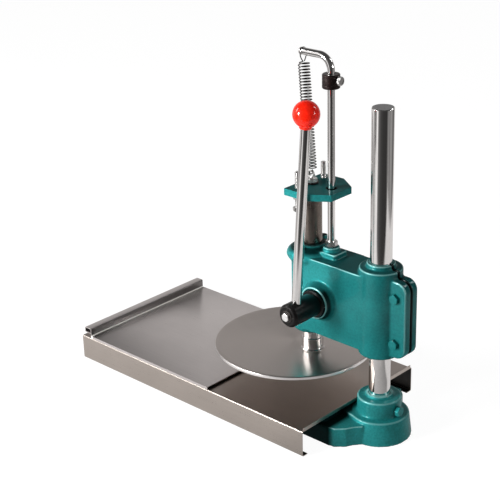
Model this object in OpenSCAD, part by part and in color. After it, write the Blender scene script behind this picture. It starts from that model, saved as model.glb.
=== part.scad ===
/* [Bench and tray] */
// Length of the tray, end to end
tray_l = 473; // [440:1:520]
// Width of the tray and of the sliding board
tray_w = 254.5; // [246:0.5:300]
// Height of the tray's top face above the bench
tray_h = 40.6; // [38:0.2:44]
// Thickness of the stainless sheet of the tray and of the board
sheet_t = 1.2; // [1:0.1:1.6]
// Outer radius of the sheet's bends
bend_r = 2.6; // [2:0.1:3.4]
// Distance from the press axis to the tray's end beside the column
tray_end_x = 88.7; // [84:0.1:90]
// Width of the in-turned lips that the tray stands on
tray_lip_w = 11; // [8:0.5:16]
// Height of the upstand at the tray's end, where the board stops
upstand_h = 4.4; // [3:0.1:6]
// Gap between each end of the upstand and the tray's side
upstand_inset = 3; // [1:0.5:8]
// Height of the tray's end wall clear of the bench
end_wall_lift = 3; // [1:0.5:8]

/* [Sliding board] */
// Length of the board from its front edge to its grip
board_l = 264.4; // [240:0.2:272]
// Distance from the press axis to the board's front edge, at rest
board_front_x = 98.7; // [92:0.1:104]
// Height of the board's side flanges
board_flange_h = 4.3; // [3:0.1:6]
// Running gap under the board's flanges
board_gap = 0.1; // [0.05:0.05:0.3]
// Height of the grip above the board's top face
grip_h = 13; // [10:0.5:16]
// Depth of the grip's curl
curl_w = 15; // [8:0.5:18]
// Height of the grip's curl
curl_h = 9; // [7:0.5:9.5]

/* [Base casting] */
// Width of the base platform under the tray
base_w = 160; // [140:1:190]
// Reach of the base platform forward of the press axis
base_reach = 75; // [60:1:110]
// Reach of the base platform back from the press axis
base_back = 106; // [100:1:112]
// Height of the base platform's shelf
base_h = 30; // [26:0.5:34]
// Wall thickness of the base casting
base_wall = 8; // [6:0.5:12]
// Radius of the base platform's corners
base_corner_r = 14; // [8:1:24]
// Radius of the round foot at the bench
foot_r = 47; // [45:0.5:54]
// Radius of the round foot at its shoulder
foot_top_r = 43.5; // [40:0.5:50]
// Height of the round foot's shoulder
foot_h = 36; // [30:0.5:42]
// Radius of the column boss on the base
base_boss_r = 32; // [27:0.5:38]
// Height of the column boss on the base
base_boss_h = 61.5; // [52:0.5:68]

/* [Column] */
// Diameter of the column
col_d = 31; // [26:0.5:36]
// Distance from the press axis to the column's axis
col_x = 125.6; // [120:0.2:134]
// Height of the column's top above the bench
col_top = 489.7; // [440:0.5:560]

/* [Head casting] */
// Half of the head web's thickness
web_y = 30; // [26:0.5:34]
// Height of the web's lower edge above the bench
web_bottom = 139; // [132:0.5:146]
// Height of the web's upper edge above the bench
web_top = 254; // [246:0.5:258]
// Radius of the barrel round the ram
ram_barrel_r = 30; // [26:0.5:33]
// Height of the ram barrel's lower end
barrel_bottom = 130; // [126:0.5:134]
// Radius of the flange on top of the ram barrel
flange_r = 37; // [34.5:0.5:42]
// Height of the flange's top face
flange_top = 262; // [258:0.5:264]
// Height of the flange's rim, from its top face down to the barrel
flange_t = 25; // [8:0.5:28]
// Radius of the barrel round the column
col_barrel_r = 31; // [26:0.5:34]
// Radius of the raised collars round the ram and the column
collar_r = 21; // [19.5:0.5:24]
// Height of the raised collar round the ram
ram_collar_h = 5; // [2:0.5:8]
// Height of the raised collar round the column
col_collar_h = 7; // [2:0.5:10]
// Half of the clamp ears' thickness
ear_y = 14; // [11:0.5:18]
// Distance from the column's axis to the ends of the clamp ears
ear_reach = 53.4; // [49:0.2:60]
// Radius of the clamp ears' outer corners
ear_corner_r = 16; // [8:1:22]
// Width of the slit that the clamp bolts close
slit_w = 2; // [2:0.5:5]

/* [Ram and press plate] */
// Diameter of the ram
ram_d = 30; // [28:0.5:32]
// Diameter of the press plate
plate_d = 240; // [200:1:246]
// Thickness of the press plate
plate_t = 5.5; // [4:0.5:8]
// Height of the press plate's underside above the bench, at rest
plate_z = 90.5; // [88:0.5:96]
// Distance that the press plate's centre lies forward of the press axis
plate_offset = 36; // [30:0.5:44]
// Diameter of the socket on the press plate
socket_d = 32; // [32:0.5:36]
// Height of the socket on the press plate
socket_h = 20; // [16:0.5:22]
// Diameter of the ram's spigot in the socket
spigot_d = 22; // [18:0.5:24]

/* [Top plate and depth stops] */
// Height of the top plate's underside above the bench, at rest
top_plate_z = 345.5; // [338:0.5:352]
// Thickness of the top plate
top_plate_t = 10; // [8:0.5:12]
// Half of the top plate's width
top_plate_y = 42; // [38:0.5:48]
// Reach of the top plate forward of the press axis
top_plate_front = 15; // [14:0.5:22]
// Reach of the top plate back from the press axis
top_plate_back = 55; // [51:0.5:60]
// Length of the top plate's corner cuts along the press
top_cut_x = 30; // [20:1:34]
// Length of the top plate's corner cuts across the press
top_cut_y = 20; // [12:1:26]
// Distance of each depth stop from the press's middle plane
stop_y = 28; // [27:0.5:31]
// Distance that the depth stops lie forward of the press axis
stop_x = 1.5; // [0:0.5:4]
// Height of the depth stops' heads above the bench, at rest
stop_head_z = 321; // [316:0.5:326]
// Height of the depth stops' upper ends above the bench, at rest
stop_top_z = 379.5; // [372:0.5:386]
// Thread diameter of the depth stops
stop_d = 8; // [6:1:10]
// Diameter of the strike posts under the depth stops
post_d = 11; // [9:0.5:13]
// Height of the strike posts' tops above the bench
post_top = 268; // [264:0.5:274]

/* [Gear] */
// Module of the rack and pinion
gear_m = 2.5; // [2.5:0.5:2.5]
// Number of teeth on the pinion
pinion_teeth = 22; // [20:2:22]
// Width of the pinion
pinion_w = 30; // [24:0.5:32]
// Distance from the press axis to the rack's pitch line
rack_x = 12.8; // [12.4:0.1:13.2]
// Height of the pinion shaft above the bench
gear_z = 194.8; // [190:0.1:198]
// Play between the teeth, measured on the pitch line
backlash = 0.3; // [0.2:0.05:0.5]
// Diameter of the pinion shaft
shaft_d = 20; // [16:0.5:22]
// Outer diameter of the shaft's bushes
bush_d = 28; // [25:0.5:32]
// Width and height of the shaft's keys
key_s = 6; // [5:0.5:6]

/* [Shaft bosses] */
// Radius of the near shaft boss where it leaves the web
boss_root_r = 29.5; // [27:0.5:34]
// Radius of the near shaft boss at its face
boss_face_r = 24; // [23:0.5:26]
// Distance of the near shaft boss's face from the press's middle plane
boss_face_y = 45.3; // [42:0.1:48]
// Distance of the far shaft boss's face from the press's middle plane
far_boss_y = 38; // [36:0.5:44]

/* [Lever] */
// Radius of the hub's shoulder in the near shaft boss
shoulder_r = 20.3; // [19:0.1:21]
// Distance of the shoulder's outer face from the press's middle plane
shoulder_y = 48; // [47:0.5:56]
// Radius of the lever hub
hub_r = 17; // [15.5:0.5:18.5]
// Distance of the hub's end face from the press's middle plane
hub_end_y = 101; // [98:0.5:110]
// Bevel at the hub's end
hub_bevel = 3.5; // [1:0.5:5]
// Distance of the lever from the press's middle plane
lever_y = 82.1; // [79:0.1:86]
// Diameter of the lever
lever_d = 14; // [12:0.5:16]
// Distance from the shaft's axis to the ball knob's centre
lever_l = 293.6; // [240:0.2:340]
// Backward lean of the lever at rest, in degrees
lever_lean = 4.4; // [0:0.1:10]
// Diameter of the ball knob
ball_d = 37; // [32:0.5:45]

/* [Guide rod and stop collar] */
// Diameter of the guide rod
rod_d = 10.5; // [9:0.5:12]
// Distance from the press axis to the guide rod
rod_x = 36.5; // [34:0.5:39]
// Height of the middle of the guide rod's arm above the bench
arm_z = 543.5; // [530:0.5:560]
// Radius of the guide rod's bend, at the rod's middle
rod_bend_r = 20; // [16:0.5:24]
// Distance that the arm's end lies forward of the press axis
arm_reach = 18; // [14:0.5:24]
// Half of the width of the raised pad under the guide rod
pad_y = 14.5; // [13:0.5:18]
// Reach of the raised pad behind the guide rod
pad_back = 18; // [14:0.5:22]
// Diameter of the round seat under the guide rod's nut
seat_d = 24; // [21:0.5:28]
// Height of the guide rod's nut seat above the bench
seat_z = 268.5; // [266:0.5:272]
// Diameter of the stop collar
collar_d = 25; // [22:0.5:30]
// Height of the stop collar
collar_h = 20; // [16:0.5:24]
// Height of the stop collar's underside above the bench
collar_z = 500; // [470:0.5:502]
// Diameter of the thumb screw's head
thumb_d = 13; // [11:0.5:16]

/* [Spring] */
// Outer diameter of the return spring
spring_d = 17; // [14:0.5:18]
// Wire diameter of the return spring
wire_d = 1.6; // [1.2:0.1:2]
// Number of turns in the return spring
spring_turns = 36; // [20:1:38]
// Length of the spring's body along its axis
spring_body_l = 153; // [140:0.5:156]

/* [Fits] */
// Running clearance on the radius of shafts and sliding rods
run = 0.05; // [0.02:0.01:0.1]
// Clearance between pieces that are fitted together and stay put
seat_gap = 0.05; // [0.02:0.01:0.1]

/* [Hidden] */

$fn = 64;

casting_color = [0.17, 0.5, 0.5];
steel_color = [0.62, 0.6, 0.58];
chrome_color = [0.78, 0.78, 0.8];
zinc_color = [0.7, 0.7, 0.7];
black_color = [0.1, 0.1, 0.1];
dark_color = [0.2, 0.15, 0.14];
bronze_color = [0.7, 0.52, 0.3];

// Smallest overshoot of a cut past the face that it opens
cut = 1;

// Tray and board
tray_start_x = tray_end_x - tray_l;
sheet_bottom = tray_h - sheet_t;
board_bottom = tray_h + board_gap;
board_top = board_bottom + board_flange_h;
grip_x = -board_front_x - board_l;
curl_r = 1.8;

// Base casting
pad_margin = 2;
pad_end_gap = 6;
stud_d = 6;
stud_edge = 9;
stud_spare = 2;
nut_h_m6 = 5;
nut_af_m6 = 10;
base_rib = 8;
base_roof = 9;
pocket_h = base_h - base_roof;
pocket_x0 = -base_reach + base_wall;
pocket_x1 = col_x - foot_r - base_rib;
col_floor = 8;
col_lift = 0.3;
base_collar_h = 4;
neck_start_x = tray_end_x - pad_end_gap;
neck_start_y = 32;
base_corner_x = 12;
base_corner_y = 13;
set_screw_d = 10;
set_screw_z = 45;
set_screw_af = 13;
set_screw_head = 6;
tip_gap = 0.3;

// Head casting
flange_round = 6;
barrel_round = 9;
web_corner_r = 14;
web_front_x = 4;
ear_top = web_top - 2;
ear_bottom = web_bottom - 3;
clamp_d = 8;
clamp_af = 13;
clamp_head_h = 5.3;
clamp_nut_h = 6.5;
clamp_clear = 1.6;
clamp_x = col_x + sqrt(pow(col_barrel_r, 2) - pow(ear_y, 2)) + clamp_af / 2 + clamp_clear;
clamp_high_z = 227;
clamp_low_z = 158;

// Gear
tooth_angle = 20;
pinion_pitch_r = gear_m * pinion_teeth / 2;
pinion_base_r = pinion_pitch_r * cos(tooth_angle);
pinion_tip_r = pinion_pitch_r + gear_m;
pinion_root_r = pinion_pitch_r - 1.25 * gear_m;
pinion_x = rack_x + pinion_pitch_r;
rack_pitch = PI * gear_m;
rack_root_x = rack_x - 1.25 * gear_m;
rack_low_gap = -4;
rack_high_gap = 8;
chamber_gap = 1.5;
pinion_side_gap = 0.5;
slot_y = pinion_w / 2 + pinion_side_gap;
slot_front_x = ram_d / 2 + 6.5;
slot_back_x = col_x - col_barrel_r - 10.6;

// Shaft, hub and lever
recess_d = 2 * shoulder_r + 1.8;
recess_depth = 3.3;
bush_near_y = boss_face_y - recess_depth;
shoulder_back_y = bush_near_y + 0.3;
shaft_near_y = 70;
bolt_hole_d = 7.5;
hub_bolt_d = 7;
hub_bolt_af = 11;
hub_bolt_head = 4;
hub_washer_t = 1;
hub_bolt_grip = 12;
washer_t = 2;
rod_seat_r = 6.6;
// Half of the length of web that the shaft's bosses may spread over
boss_reach = 40;
// Width of the plain edge of the web below and above the bosses
boss_low_edge = 6;
boss_high_edge = 2;
key_gap = 0.05;
circlip_t = 1.5;
circlip_groove = 1;
far_washer_y = far_boss_y + 0.3;
circlip_y = far_washer_y + washer_t + 0.2;
shaft_far_y = circlip_y + circlip_t + 2;
ball_neck_d = 20;
ball_neck_drop = 19.5;

// Ram, plates and depth stops
plate_top = plate_z + plate_t;
socket_screw_z = plate_top + 6;
socket_screw_d = 6;
anchor_d = 10;
anchor_af = 16;
anchor_nut_h = 5;
anchor_depth = 22;
top_plate_top = top_plate_z + top_plate_t;
eye_wire_d = 3;
eye_r = 4.6;
eye_z = top_plate_top + washer_t + anchor_nut_h + 6;
stop_af = 13;
stop_head_h = 5.3;
lock_nut_h = 6.5;
rod_hole_d = rod_d + 4;

// Guide rod and collar
rod_nut_af = 16;
rod_nut_h = 8;
rod_foot_depth = 24;
arm_groove_w = 2.6;
arm_groove_depth = 1.2;
arm_groove_x = 4.6;
thumb_screw_d = 5;
thumb_head_l = 5;
thumb_gap = 1;
thumb_z = collar_z + collar_h / 2 + 2;

// Spring: its ends, and the loops that hook it on
hook_x = -arm_reach + arm_groove_x;
hook_r = (rod_d - 2 * arm_groove_depth) / 2 + wire_d / 2 + 0.35;
rings_a_turn = 8;
spring_sides = 6;
coil_r = (spring_d - wire_d) / 2;
spring_top = [hook_x, 0, arm_z];
spring_low = [0, 0, eye_z];
spring_span = norm(spring_top - spring_low);
spring_dir = (spring_low - spring_top) / spring_span;
spring_tilt = atan2(spring_low[0] - spring_top[0], spring_top[2] - spring_low[2]);
low_hook_r = 3.4;
hook_steps = 12;
lead_steps = 5;

// A point on an arc
function arc(cx, cy, r, a0, a1, n) =
    [for (i = [0 : n]) [cx + r * cos(a0 + (a1 - a0) * i / n), cy + r * sin(a0 + (a1 - a0) * i / n)]];

// The outline of a rectangle with round corners, from its lower left corner
function round_box(x0, y0, x1, y1, r, n = 6) = concat(
    arc(x1 - r, y0 + r, r, -90, 0, n),
    arc(x1 - r, y1 - r, r, 0, 90, n),
    arc(x0 + r, y1 - r, r, 90, 180, n),
    arc(x0 + r, y0 + r, r, 180, 270, n));

// Stands an outline drawn in X and Z upright, spread evenly each side of y = 0
module upright(width) {
    rotate([90, 0, 0])
        linear_extrude(width, center = true)
            children();
}

// A cylinder along Y, from y0 to y1
module along_y(d, y0, y1, x = 0, z = 0) {
    translate([x, y0, z])
        rotate([-90, 0, 0])
            cylinder(d = d, h = y1 - y0);
}

// A cylinder along X, from x0 to x1
module along_x(d, x0, x1, y = 0, z = 0) {
    translate([x0, y, z])
        rotate([0, 90, 0])
            cylinder(d = d, h = x1 - x0);
}

// A hexagonal prism along Z, measured across its flats
module hexagon(af, h) {
    cylinder(d = af / cos(30), h = h, $fn = 6);
}

// A hexagonal nut along Z with a round hole
module hex_nut(af, d, h) {
    difference() {
        hexagon(af, h);
        translate([0, 0, -cut])
            cylinder(d = d, h = h + 2 * cut);
    }
}

// Tray: a sheet channel with in-turned lips, an end wall and an upstand
module tray() {
    color(steel_color) {
        translate([tray_start_x, 0, 0])
            rotate([90, 0, 90])
                linear_extrude(tray_l)
                    difference() {
                        polygon(round_box(-tray_w / 2, 0, tray_w / 2, tray_h, bend_r));
                        polygon(round_box(-tray_w / 2 + sheet_t, sheet_t, tray_w / 2 - sheet_t,
                            sheet_bottom, bend_r - sheet_t));
                        translate([-tray_w / 2 + tray_lip_w, -cut])
                            square([tray_w - 2 * tray_lip_w, cut + bend_r]);
                    }
        translate([tray_start_x, -tray_w / 2 + sheet_t, end_wall_lift])
            cube([sheet_t, tray_w - 2 * sheet_t, sheet_bottom - end_wall_lift]);
        translate([tray_end_x - sheet_t, -tray_w / 2 + upstand_inset, tray_h])
            cube([sheet_t, tray_w - 2 * upstand_inset, upstand_h]);
    }
}

// Moves what follows to one of the four studs that hold the tray on the base
stud_front_x = pocket_x0 + stud_edge;
stud_back_x = pocket_x1 - stud_edge;
stud_y = base_w / 2 - base_wall - stud_edge;
module at_stud(i) {
    translate([i < 2 ? stud_front_x : stud_back_x, i % 2 == 0 ? -stud_y : stud_y, 0])
        children();
}

module tray_stud(i) {
    stud_bottom = pocket_h - nut_h_m6 - stud_spare;
    color(zinc_color)
        at_stud(i)
            translate([0, 0, stud_bottom])
                cylinder(d = stud_d, h = sheet_bottom - stud_bottom);
}

module tray_nut(i) {
    color(zinc_color)
        at_stud(i)
            translate([0, 0, pocket_h - nut_h_m6])
                hex_nut(nut_af_m6, stud_d + 2 * seat_gap, nut_h_m6);
}

// Board: a flat sheet with side flanges and a curled grip
module slide_board() {
    color(steel_color) {
        upright(tray_w)
            union() {
                translate([grip_x, board_top - sheet_t])
                    square([board_l, sheet_t]);
                translate([grip_x, board_top - sheet_t])
                    square([sheet_t, grip_h - curl_r + sheet_t]);
                translate([grip_x + sheet_t, board_top + grip_h])
                    difference() {
                        polygon(round_box(-curl_w, -curl_h, 0, 0, curl_r));
                        polygon(round_box(-curl_w + sheet_t, -curl_h + sheet_t, -sheet_t,
                            -sheet_t, curl_r - sheet_t));
                    }
            }
        for (y = [-tray_w / 2, tray_w / 2 - sheet_t])
            translate([grip_x, y, board_bottom])
                cube([board_l, sheet_t, board_flange_h]);
    }
}

// Outline of the base platform, with shoulders that run out into the round foot
module platform_outline() {
    y1 = base_w / 2;
    polygon(concat(
        arc(-base_reach + base_corner_r, -y1 + base_corner_r, base_corner_r, 180, 270, 6),
        [[base_back - base_corner_x, -y1], [base_back, -y1 + 2],
            [base_back + base_corner_x, -y1 + base_corner_y],
            [col_x - 1.5, -foot_r - 9], [col_x + 6.5, -foot_r + 0.5],
            [col_x + 6.5, foot_r - 0.5], [col_x - 1.5, foot_r + 9],
            [base_back + base_corner_x, y1 - base_corner_y],
            [base_back, y1 - 2], [base_back - base_corner_x, y1]],
        arc(-base_reach + base_corner_r, y1 - base_corner_r, base_corner_r, 90, 180, 6)));
}

// Two pockets under the platform, either side of a rib that runs under the press axis
module base_pockets() {
    for (side = [-1, 1])
        translate([pocket_x0, side > 0 ? base_rib / 2 : base_wall - base_w / 2, -cut])
            cube([pocket_x1 - pocket_x0, (base_w - base_rib) / 2 - base_wall, pocket_h + cut]);
}

module base_casting() {
    color(casting_color)
        difference() {
            union() {
                linear_extrude(base_h)
                    platform_outline();
                translate([0, 0, base_h])
                    linear_extrude(sheet_bottom - base_h)
                        polygon(round_box(-base_reach + pad_margin, -base_w / 2 + pad_margin,
                            neck_start_x, base_w / 2 - pad_margin, base_corner_r / 2));
                linear_extrude(foot_h)
                    polygon([
                        [neck_start_x - base_wall, -neck_start_y], [col_x, -foot_top_r],
                        [col_x, foot_top_r], [neck_start_x - base_wall, neck_start_y]]);
                translate([col_x, 0, 0])
                    base_foot();
            }
            base_pockets();
            for (i = [0 : 3])
                at_stud(i)
                    translate([0, 0, -cut])
                        cylinder(d = stud_d + 1, h = sheet_bottom + 2 * cut);
            translate([col_x, 0, col_floor])
                cylinder(d = col_d + 2 * run, h = base_boss_h + base_collar_h);
            along_x(set_screw_d + 2 * seat_gap, col_x, col_x + base_boss_r + cut, 0, set_screw_z);
        }
}

// Round foot, shoulder, boss and collar round the column, on the column's axis
module base_foot() {
    rotate_extrude($fn = 96)
        polygon(concat(
            [[0, 0], [foot_r, 0], [foot_r, 3]],
            arc(foot_top_r - 3, foot_h - 3, 3, 10, 90, 4),
            [[base_boss_r + 3, foot_h]],
            arc(base_boss_r + 3, foot_h + 3, 3, 270, 180, 4),
            arc(base_boss_r - 2, base_boss_h - 2, 2, 0, 90, 3),
            [[collar_r, base_boss_h], [collar_r - 2, base_boss_h + base_collar_h],
                [0, base_boss_h + base_collar_h]]));
}

module base_set_screw() {
    color(casting_color)
        translate([col_x, 0, set_screw_z])
            rotate([0, 90, 0]) {
                translate([0, 0, col_d / 2 + tip_gap])
                    cylinder(d = set_screw_d, h = base_boss_r + 1 - col_d / 2 - tip_gap);
                translate([0, 0, base_boss_r + 1])
                    hexagon(set_screw_af, set_screw_head);
            }
}

module column() {
    color(chrome_color)
        translate([col_x, 0, col_floor + col_lift])
            rotate_extrude($fn = 96)
                polygon([[0, 0], [col_d / 2, 0], [col_d / 2, col_top - col_floor - col_lift - 1],
                    [col_d / 2 - 1, col_top - col_floor - col_lift],
                    [0, col_top - col_floor - col_lift]]);
}

// Side outline of the web between the two barrels
module web_outline() {
    polygon(concat(
        [[web_front_x, web_bottom], [col_x, web_bottom - 1], [col_x, web_top - 1]],
        arc(web_front_x + web_corner_r, web_top - web_corner_r, web_corner_r, 90, 180, 6)));
}

// Side outline of the clamp ears
module ear_outline() {
    x1 = col_x + ear_reach;
    polygon(concat(
        [[col_x, ear_bottom]],
        arc(x1 - ear_corner_r, ear_bottom + ear_corner_r, ear_corner_r, -90, 0, 6),
        arc(x1 - ear_corner_r, ear_top - ear_corner_r, ear_corner_r, 0, 90, 6),
        [[col_x, ear_top]]));
}

// Barrel and flange round the ram, on the press axis
module ram_barrel() {
    rotate_extrude($fn = 96)
        polygon(concat(
            [[0, barrel_bottom]],
            arc(ram_barrel_r - barrel_round, barrel_bottom + barrel_round, barrel_round, -90, 0, 6),
            [[ram_barrel_r, flange_top - flange_t]],
            arc(flange_r - flange_round, flange_top - flange_t / 2, flange_round, -50, 10, 4),
            [[flange_r - 2.2, flange_top - 6.5], [flange_r - 6.5, flange_top - 3],
                [collar_r + 2.5, flange_top]],
            [[collar_r, flange_top], [collar_r - 1, flange_top + ram_collar_h],
                [0, flange_top + ram_collar_h]]));
}

// Barrel round the column, on the column's axis
module column_barrel() {
    rotate_extrude($fn = 96)
        polygon(concat(
            [[0, barrel_bottom]],
            arc(col_barrel_r - 3, barrel_bottom + 3, 3, -90, 0, 3),
            arc(col_barrel_r - 2, flange_top - 2, 2, 0, 90, 3),
            [[collar_r, flange_top], [collar_r - 1, flange_top + col_collar_h],
                [0, flange_top + col_collar_h]]));
}

// Near and far bosses round the pinion shaft
module shaft_bosses() {
    translate([pinion_x, 0, gear_z])
        rotate([90, 0, 0])
            cylinder(r1 = boss_root_r + (boss_root_r - boss_face_r) * web_y / (boss_face_y - web_y),
                r2 = boss_face_r, h = boss_face_y, $fn = 96);
    along_y(2 * boss_face_r, 0, far_boss_y, pinion_x, gear_z);
}

module head_casting() {
    color(casting_color)
        difference() {
            union() {
                upright(2 * web_y)
                    web_outline();
                upright(2 * ear_y)
                    ear_outline();
                ram_barrel();
                translate([col_x, 0, 0])
                    column_barrel();
                intersection() {
                    shaft_bosses();
                    translate([pinion_x - boss_reach, -far_boss_y * 2, web_bottom + boss_low_edge])
                        cube([2 * boss_reach, far_boss_y * 4,
                            web_top - web_bottom - boss_low_edge - boss_high_edge]);
                }
                translate([0, 0, web_top - cut])
                    linear_extrude(flange_top - web_top + cut)
                        polygon(round_box(0, -pad_y, rod_x + pad_back, pad_y, 4));
                translate([rod_x, 0, web_top])
                    cylinder(d = seat_d, h = seat_z - web_top);
                for (side = [-1, 1])
                    translate([-stop_x, side * stop_y, web_top])
                        cylinder(d = post_d, h = post_top - web_top);
            }
            translate([0, 0, barrel_bottom - cut])
                cylinder(d = ram_d + 2 * run, h = flange_top + ram_collar_h - barrel_bottom + 2 * cut);
            translate([col_x, 0, barrel_bottom - cut])
                cylinder(d = col_d + 2 * run, h = flange_top + col_collar_h - barrel_bottom + 2 * cut);
            along_y(2 * (pinion_tip_r + chamber_gap), -slot_y, slot_y, pinion_x, gear_z);
            translate([slot_front_x, -slot_y, barrel_bottom - cut])
                cube([slot_back_x - slot_front_x, 2 * slot_y, gear_z + pinion_tip_r + chamber_gap
                    - barrel_bottom + cut]);
            along_y(bush_d + 2 * seat_gap, -boss_face_y - cut, far_boss_y + cut, pinion_x, gear_z);
            along_y(recess_d, -boss_face_y - cut, -bush_near_y, pinion_x, gear_z);
            translate([rod_x, 0, seat_z - rod_foot_depth])
                cylinder(d = rod_d + 2 * seat_gap, h = rod_foot_depth + cut);
            translate([col_x, -slit_w / 2, barrel_bottom - cut])
                cube([ear_reach + cut, slit_w, flange_top + col_collar_h - barrel_bottom + 2 * cut]);
            for (z = [clamp_low_z, clamp_high_z])
                along_y(clamp_d + 1, -ear_y - cut, ear_y + cut, clamp_x, z);
        }
}

// A bolt that closes the clamp ears, at height z
module clamp_bolt(z) {
    color(casting_color)
        translate([clamp_x, -ear_y, z])
            rotate([90, 0, 0]) {
                rotate([0, 0, 30])
                    hexagon(clamp_af, clamp_head_h);
                translate([0, 0, -2 * ear_y - clamp_nut_h - 3])
                    cylinder(d = clamp_d, h = 2 * ear_y + clamp_nut_h + 3);
            }
}

module clamp_nut(z) {
    color(casting_color)
        translate([clamp_x, ear_y + clamp_nut_h, z])
            rotate([90, 0, 0])
                rotate([0, 0, 30])
                    hex_nut(clamp_af, clamp_d + 2 * seat_gap, clamp_nut_h);
}

// A plain bush round the shaft, from y0 to y1
module shaft_bush(y0, y1) {
    difference() {
        along_y(bush_d, y0, y1, pinion_x, gear_z);
        along_y(shaft_d + 2 * run, y0 - cut, y1 + cut, pinion_x, gear_z);
    }
}

module near_bush() {
    color(bronze_color)
        shaft_bush(-bush_near_y, -slot_y);
}

module far_bush() {
    color(bronze_color)
        shaft_bush(slot_y, far_boss_y);
}

// Guide rod: an upright rod bent over into a level arm
module guide_rod() {
    foot_z = seat_z - rod_foot_depth;
    color(chrome_color) {
        translate([rod_x, 0, foot_z])
            cylinder(d = rod_d, h = arm_z - rod_bend_r - foot_z);
        translate([rod_x - rod_bend_r, 0, arm_z - rod_bend_r])
            rotate([90, 0, 0])
                rotate_extrude(angle = 90, $fn = 96)
                    translate([rod_bend_r, 0])
                        circle(d = rod_d, $fn = 48);
        difference() {
            along_x(rod_d, -arm_reach, rod_x - rod_bend_r, 0, arm_z);
            difference() {
                along_x(2 * rod_d, hook_x - arm_groove_w / 2, hook_x + arm_groove_w / 2, 0, arm_z);
                along_x(rod_d - 2 * arm_groove_depth, hook_x - arm_groove_w, hook_x + arm_groove_w,
                    0, arm_z);
            }
        }
    }
}

module guide_rod_nut() {
    color(zinc_color)
        translate([rod_x, 0, seat_z])
            hex_nut(rod_nut_af, rod_d + 2 * seat_gap, rod_nut_h);
}

// A tooth of the pinion, half its angle at radius r
function involute(a) = tan(a) * 180 / PI - a;
function tooth_half(r) = 90 / pinion_teeth - backlash * 90 / (PI * pinion_pitch_r)
    + involute(tooth_angle) - involute(acos(min(1, pinion_base_r / r)));
flank_steps = 4;
function flank_r(i) = pinion_base_r + (pinion_tip_r - pinion_base_r) * i / flank_steps;
function polar(r, a) = [r * cos(a), r * sin(a)];
function tooth_points(a) = concat(
    [polar(pinion_root_r, a - tooth_half(pinion_base_r))],
    [for (i = [0 : flank_steps]) polar(flank_r(i), a - tooth_half(flank_r(i)))],
    [for (i = [flank_steps : -1 : 0]) polar(flank_r(i), a + tooth_half(flank_r(i)))],
    [polar(pinion_root_r, a + tooth_half(pinion_base_r))]);

module pinion() {
    color(steel_color)
        difference() {
            translate([pinion_x, 0, gear_z])
                upright(pinion_w)
                    polygon([for (t = [0 : pinion_teeth - 1])
                        each tooth_points(t * 360 / pinion_teeth)]);
            along_y(shaft_d + 2 * seat_gap, -pinion_w, pinion_w, pinion_x, gear_z);
            key_space(-pinion_w, pinion_w);
        }
}

// The room that a key takes, above the middle of the shaft
module key_space(y0, y1) {
    translate([pinion_x - key_s / 2 - key_gap, y0, gear_z + shaft_d / 2 - key_s / 2 - key_gap])
        cube([key_s + 2 * key_gap, y1 - y0, key_s + 2 * key_gap]);
}

module shaft_key(y0, y1) {
    translate([pinion_x - key_s / 2, y0, gear_z + shaft_d / 2 - key_s / 2])
        cube([key_s, y1 - y0, key_s]);
}

pinion_key_y = pinion_w / 2 - 1;
hub_key_y0 = -shaft_near_y + 2;
hub_key_y1 = -shoulder_back_y - 1;

module pinion_key() {
    color(steel_color)
        shaft_key(-pinion_key_y, pinion_key_y);
}

module hub_key() {
    color(steel_color)
        shaft_key(hub_key_y0, hub_key_y1);
}

module pinion_shaft() {
    color(steel_color)
        difference() {
            along_y(shaft_d, -shaft_near_y, shaft_far_y, pinion_x, gear_z);
            key_space(-pinion_key_y - key_gap, pinion_key_y + key_gap);
            key_space(hub_key_y0 - key_gap, hub_key_y1 + key_gap);
            along_y(hub_bolt_d + 2 * seat_gap, -shaft_near_y - cut,
                -shaft_near_y + hub_bolt_grip + 3, pinion_x, gear_z);
            difference() {
                along_y(shaft_d + 2, circlip_y - 0.1, circlip_y + circlip_t + 0.1, pinion_x, gear_z);
                along_y(shaft_d - 2 * circlip_groove, circlip_y - cut,
                    circlip_y + circlip_t + cut, pinion_x, gear_z);
            }
        }
}

module shaft_washer() {
    color(zinc_color)
        difference() {
            along_y(shaft_d + 12, far_washer_y, far_washer_y + washer_t, pinion_x, gear_z);
            along_y(shaft_d + 2 * seat_gap, far_washer_y - cut, far_washer_y + washer_t + cut,
                pinion_x, gear_z);
        }
}

module shaft_circlip() {
    color(dark_color)
        difference() {
            along_y(shaft_d + 6, circlip_y, circlip_y + circlip_t, pinion_x, gear_z);
            along_y(shaft_d - 2 * circlip_groove + 2 * seat_gap, circlip_y - cut,
                circlip_y + circlip_t + cut, pinion_x, gear_z);
            translate([pinion_x - 2, circlip_y - cut, gear_z])
                cube([4, circlip_t + 2 * cut, shaft_d]);
        }
}

// Turns what follows about the shaft's axis, so that up becomes the lever's direction
module along_lever() {
    translate([pinion_x, -lever_y, gear_z])
        rotate([0, lever_lean, 0])
            children();
}

module lever_hub() {
    color(black_color)
        difference() {
            translate([pinion_x, 0, gear_z])
                rotate([90, 0, 0])
                    rotate_extrude($fn = 96)
                        polygon([[0, shoulder_back_y], [shoulder_r, shoulder_back_y],
                            [shoulder_r, shoulder_y - 1], [shoulder_r - 1, shoulder_y],
                            [hub_r, shoulder_y], [hub_r, hub_end_y - hub_bevel],
                            [hub_r - hub_bevel, hub_end_y], [0, hub_end_y]]);
            along_y(shaft_d + 2 * seat_gap, -shaft_near_y - 0.3, -shoulder_back_y + cut,
                pinion_x, gear_z);
            along_y(bolt_hole_d, -hub_end_y - cut, -shaft_near_y + cut, pinion_x, gear_z);
            key_space(-shaft_near_y - 0.3, -shoulder_back_y + cut);
            along_lever()
                translate([0, 0, rod_seat_r])
                    cylinder(d = lever_d + 2 * seat_gap, h = hub_r);
        }
}

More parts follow.
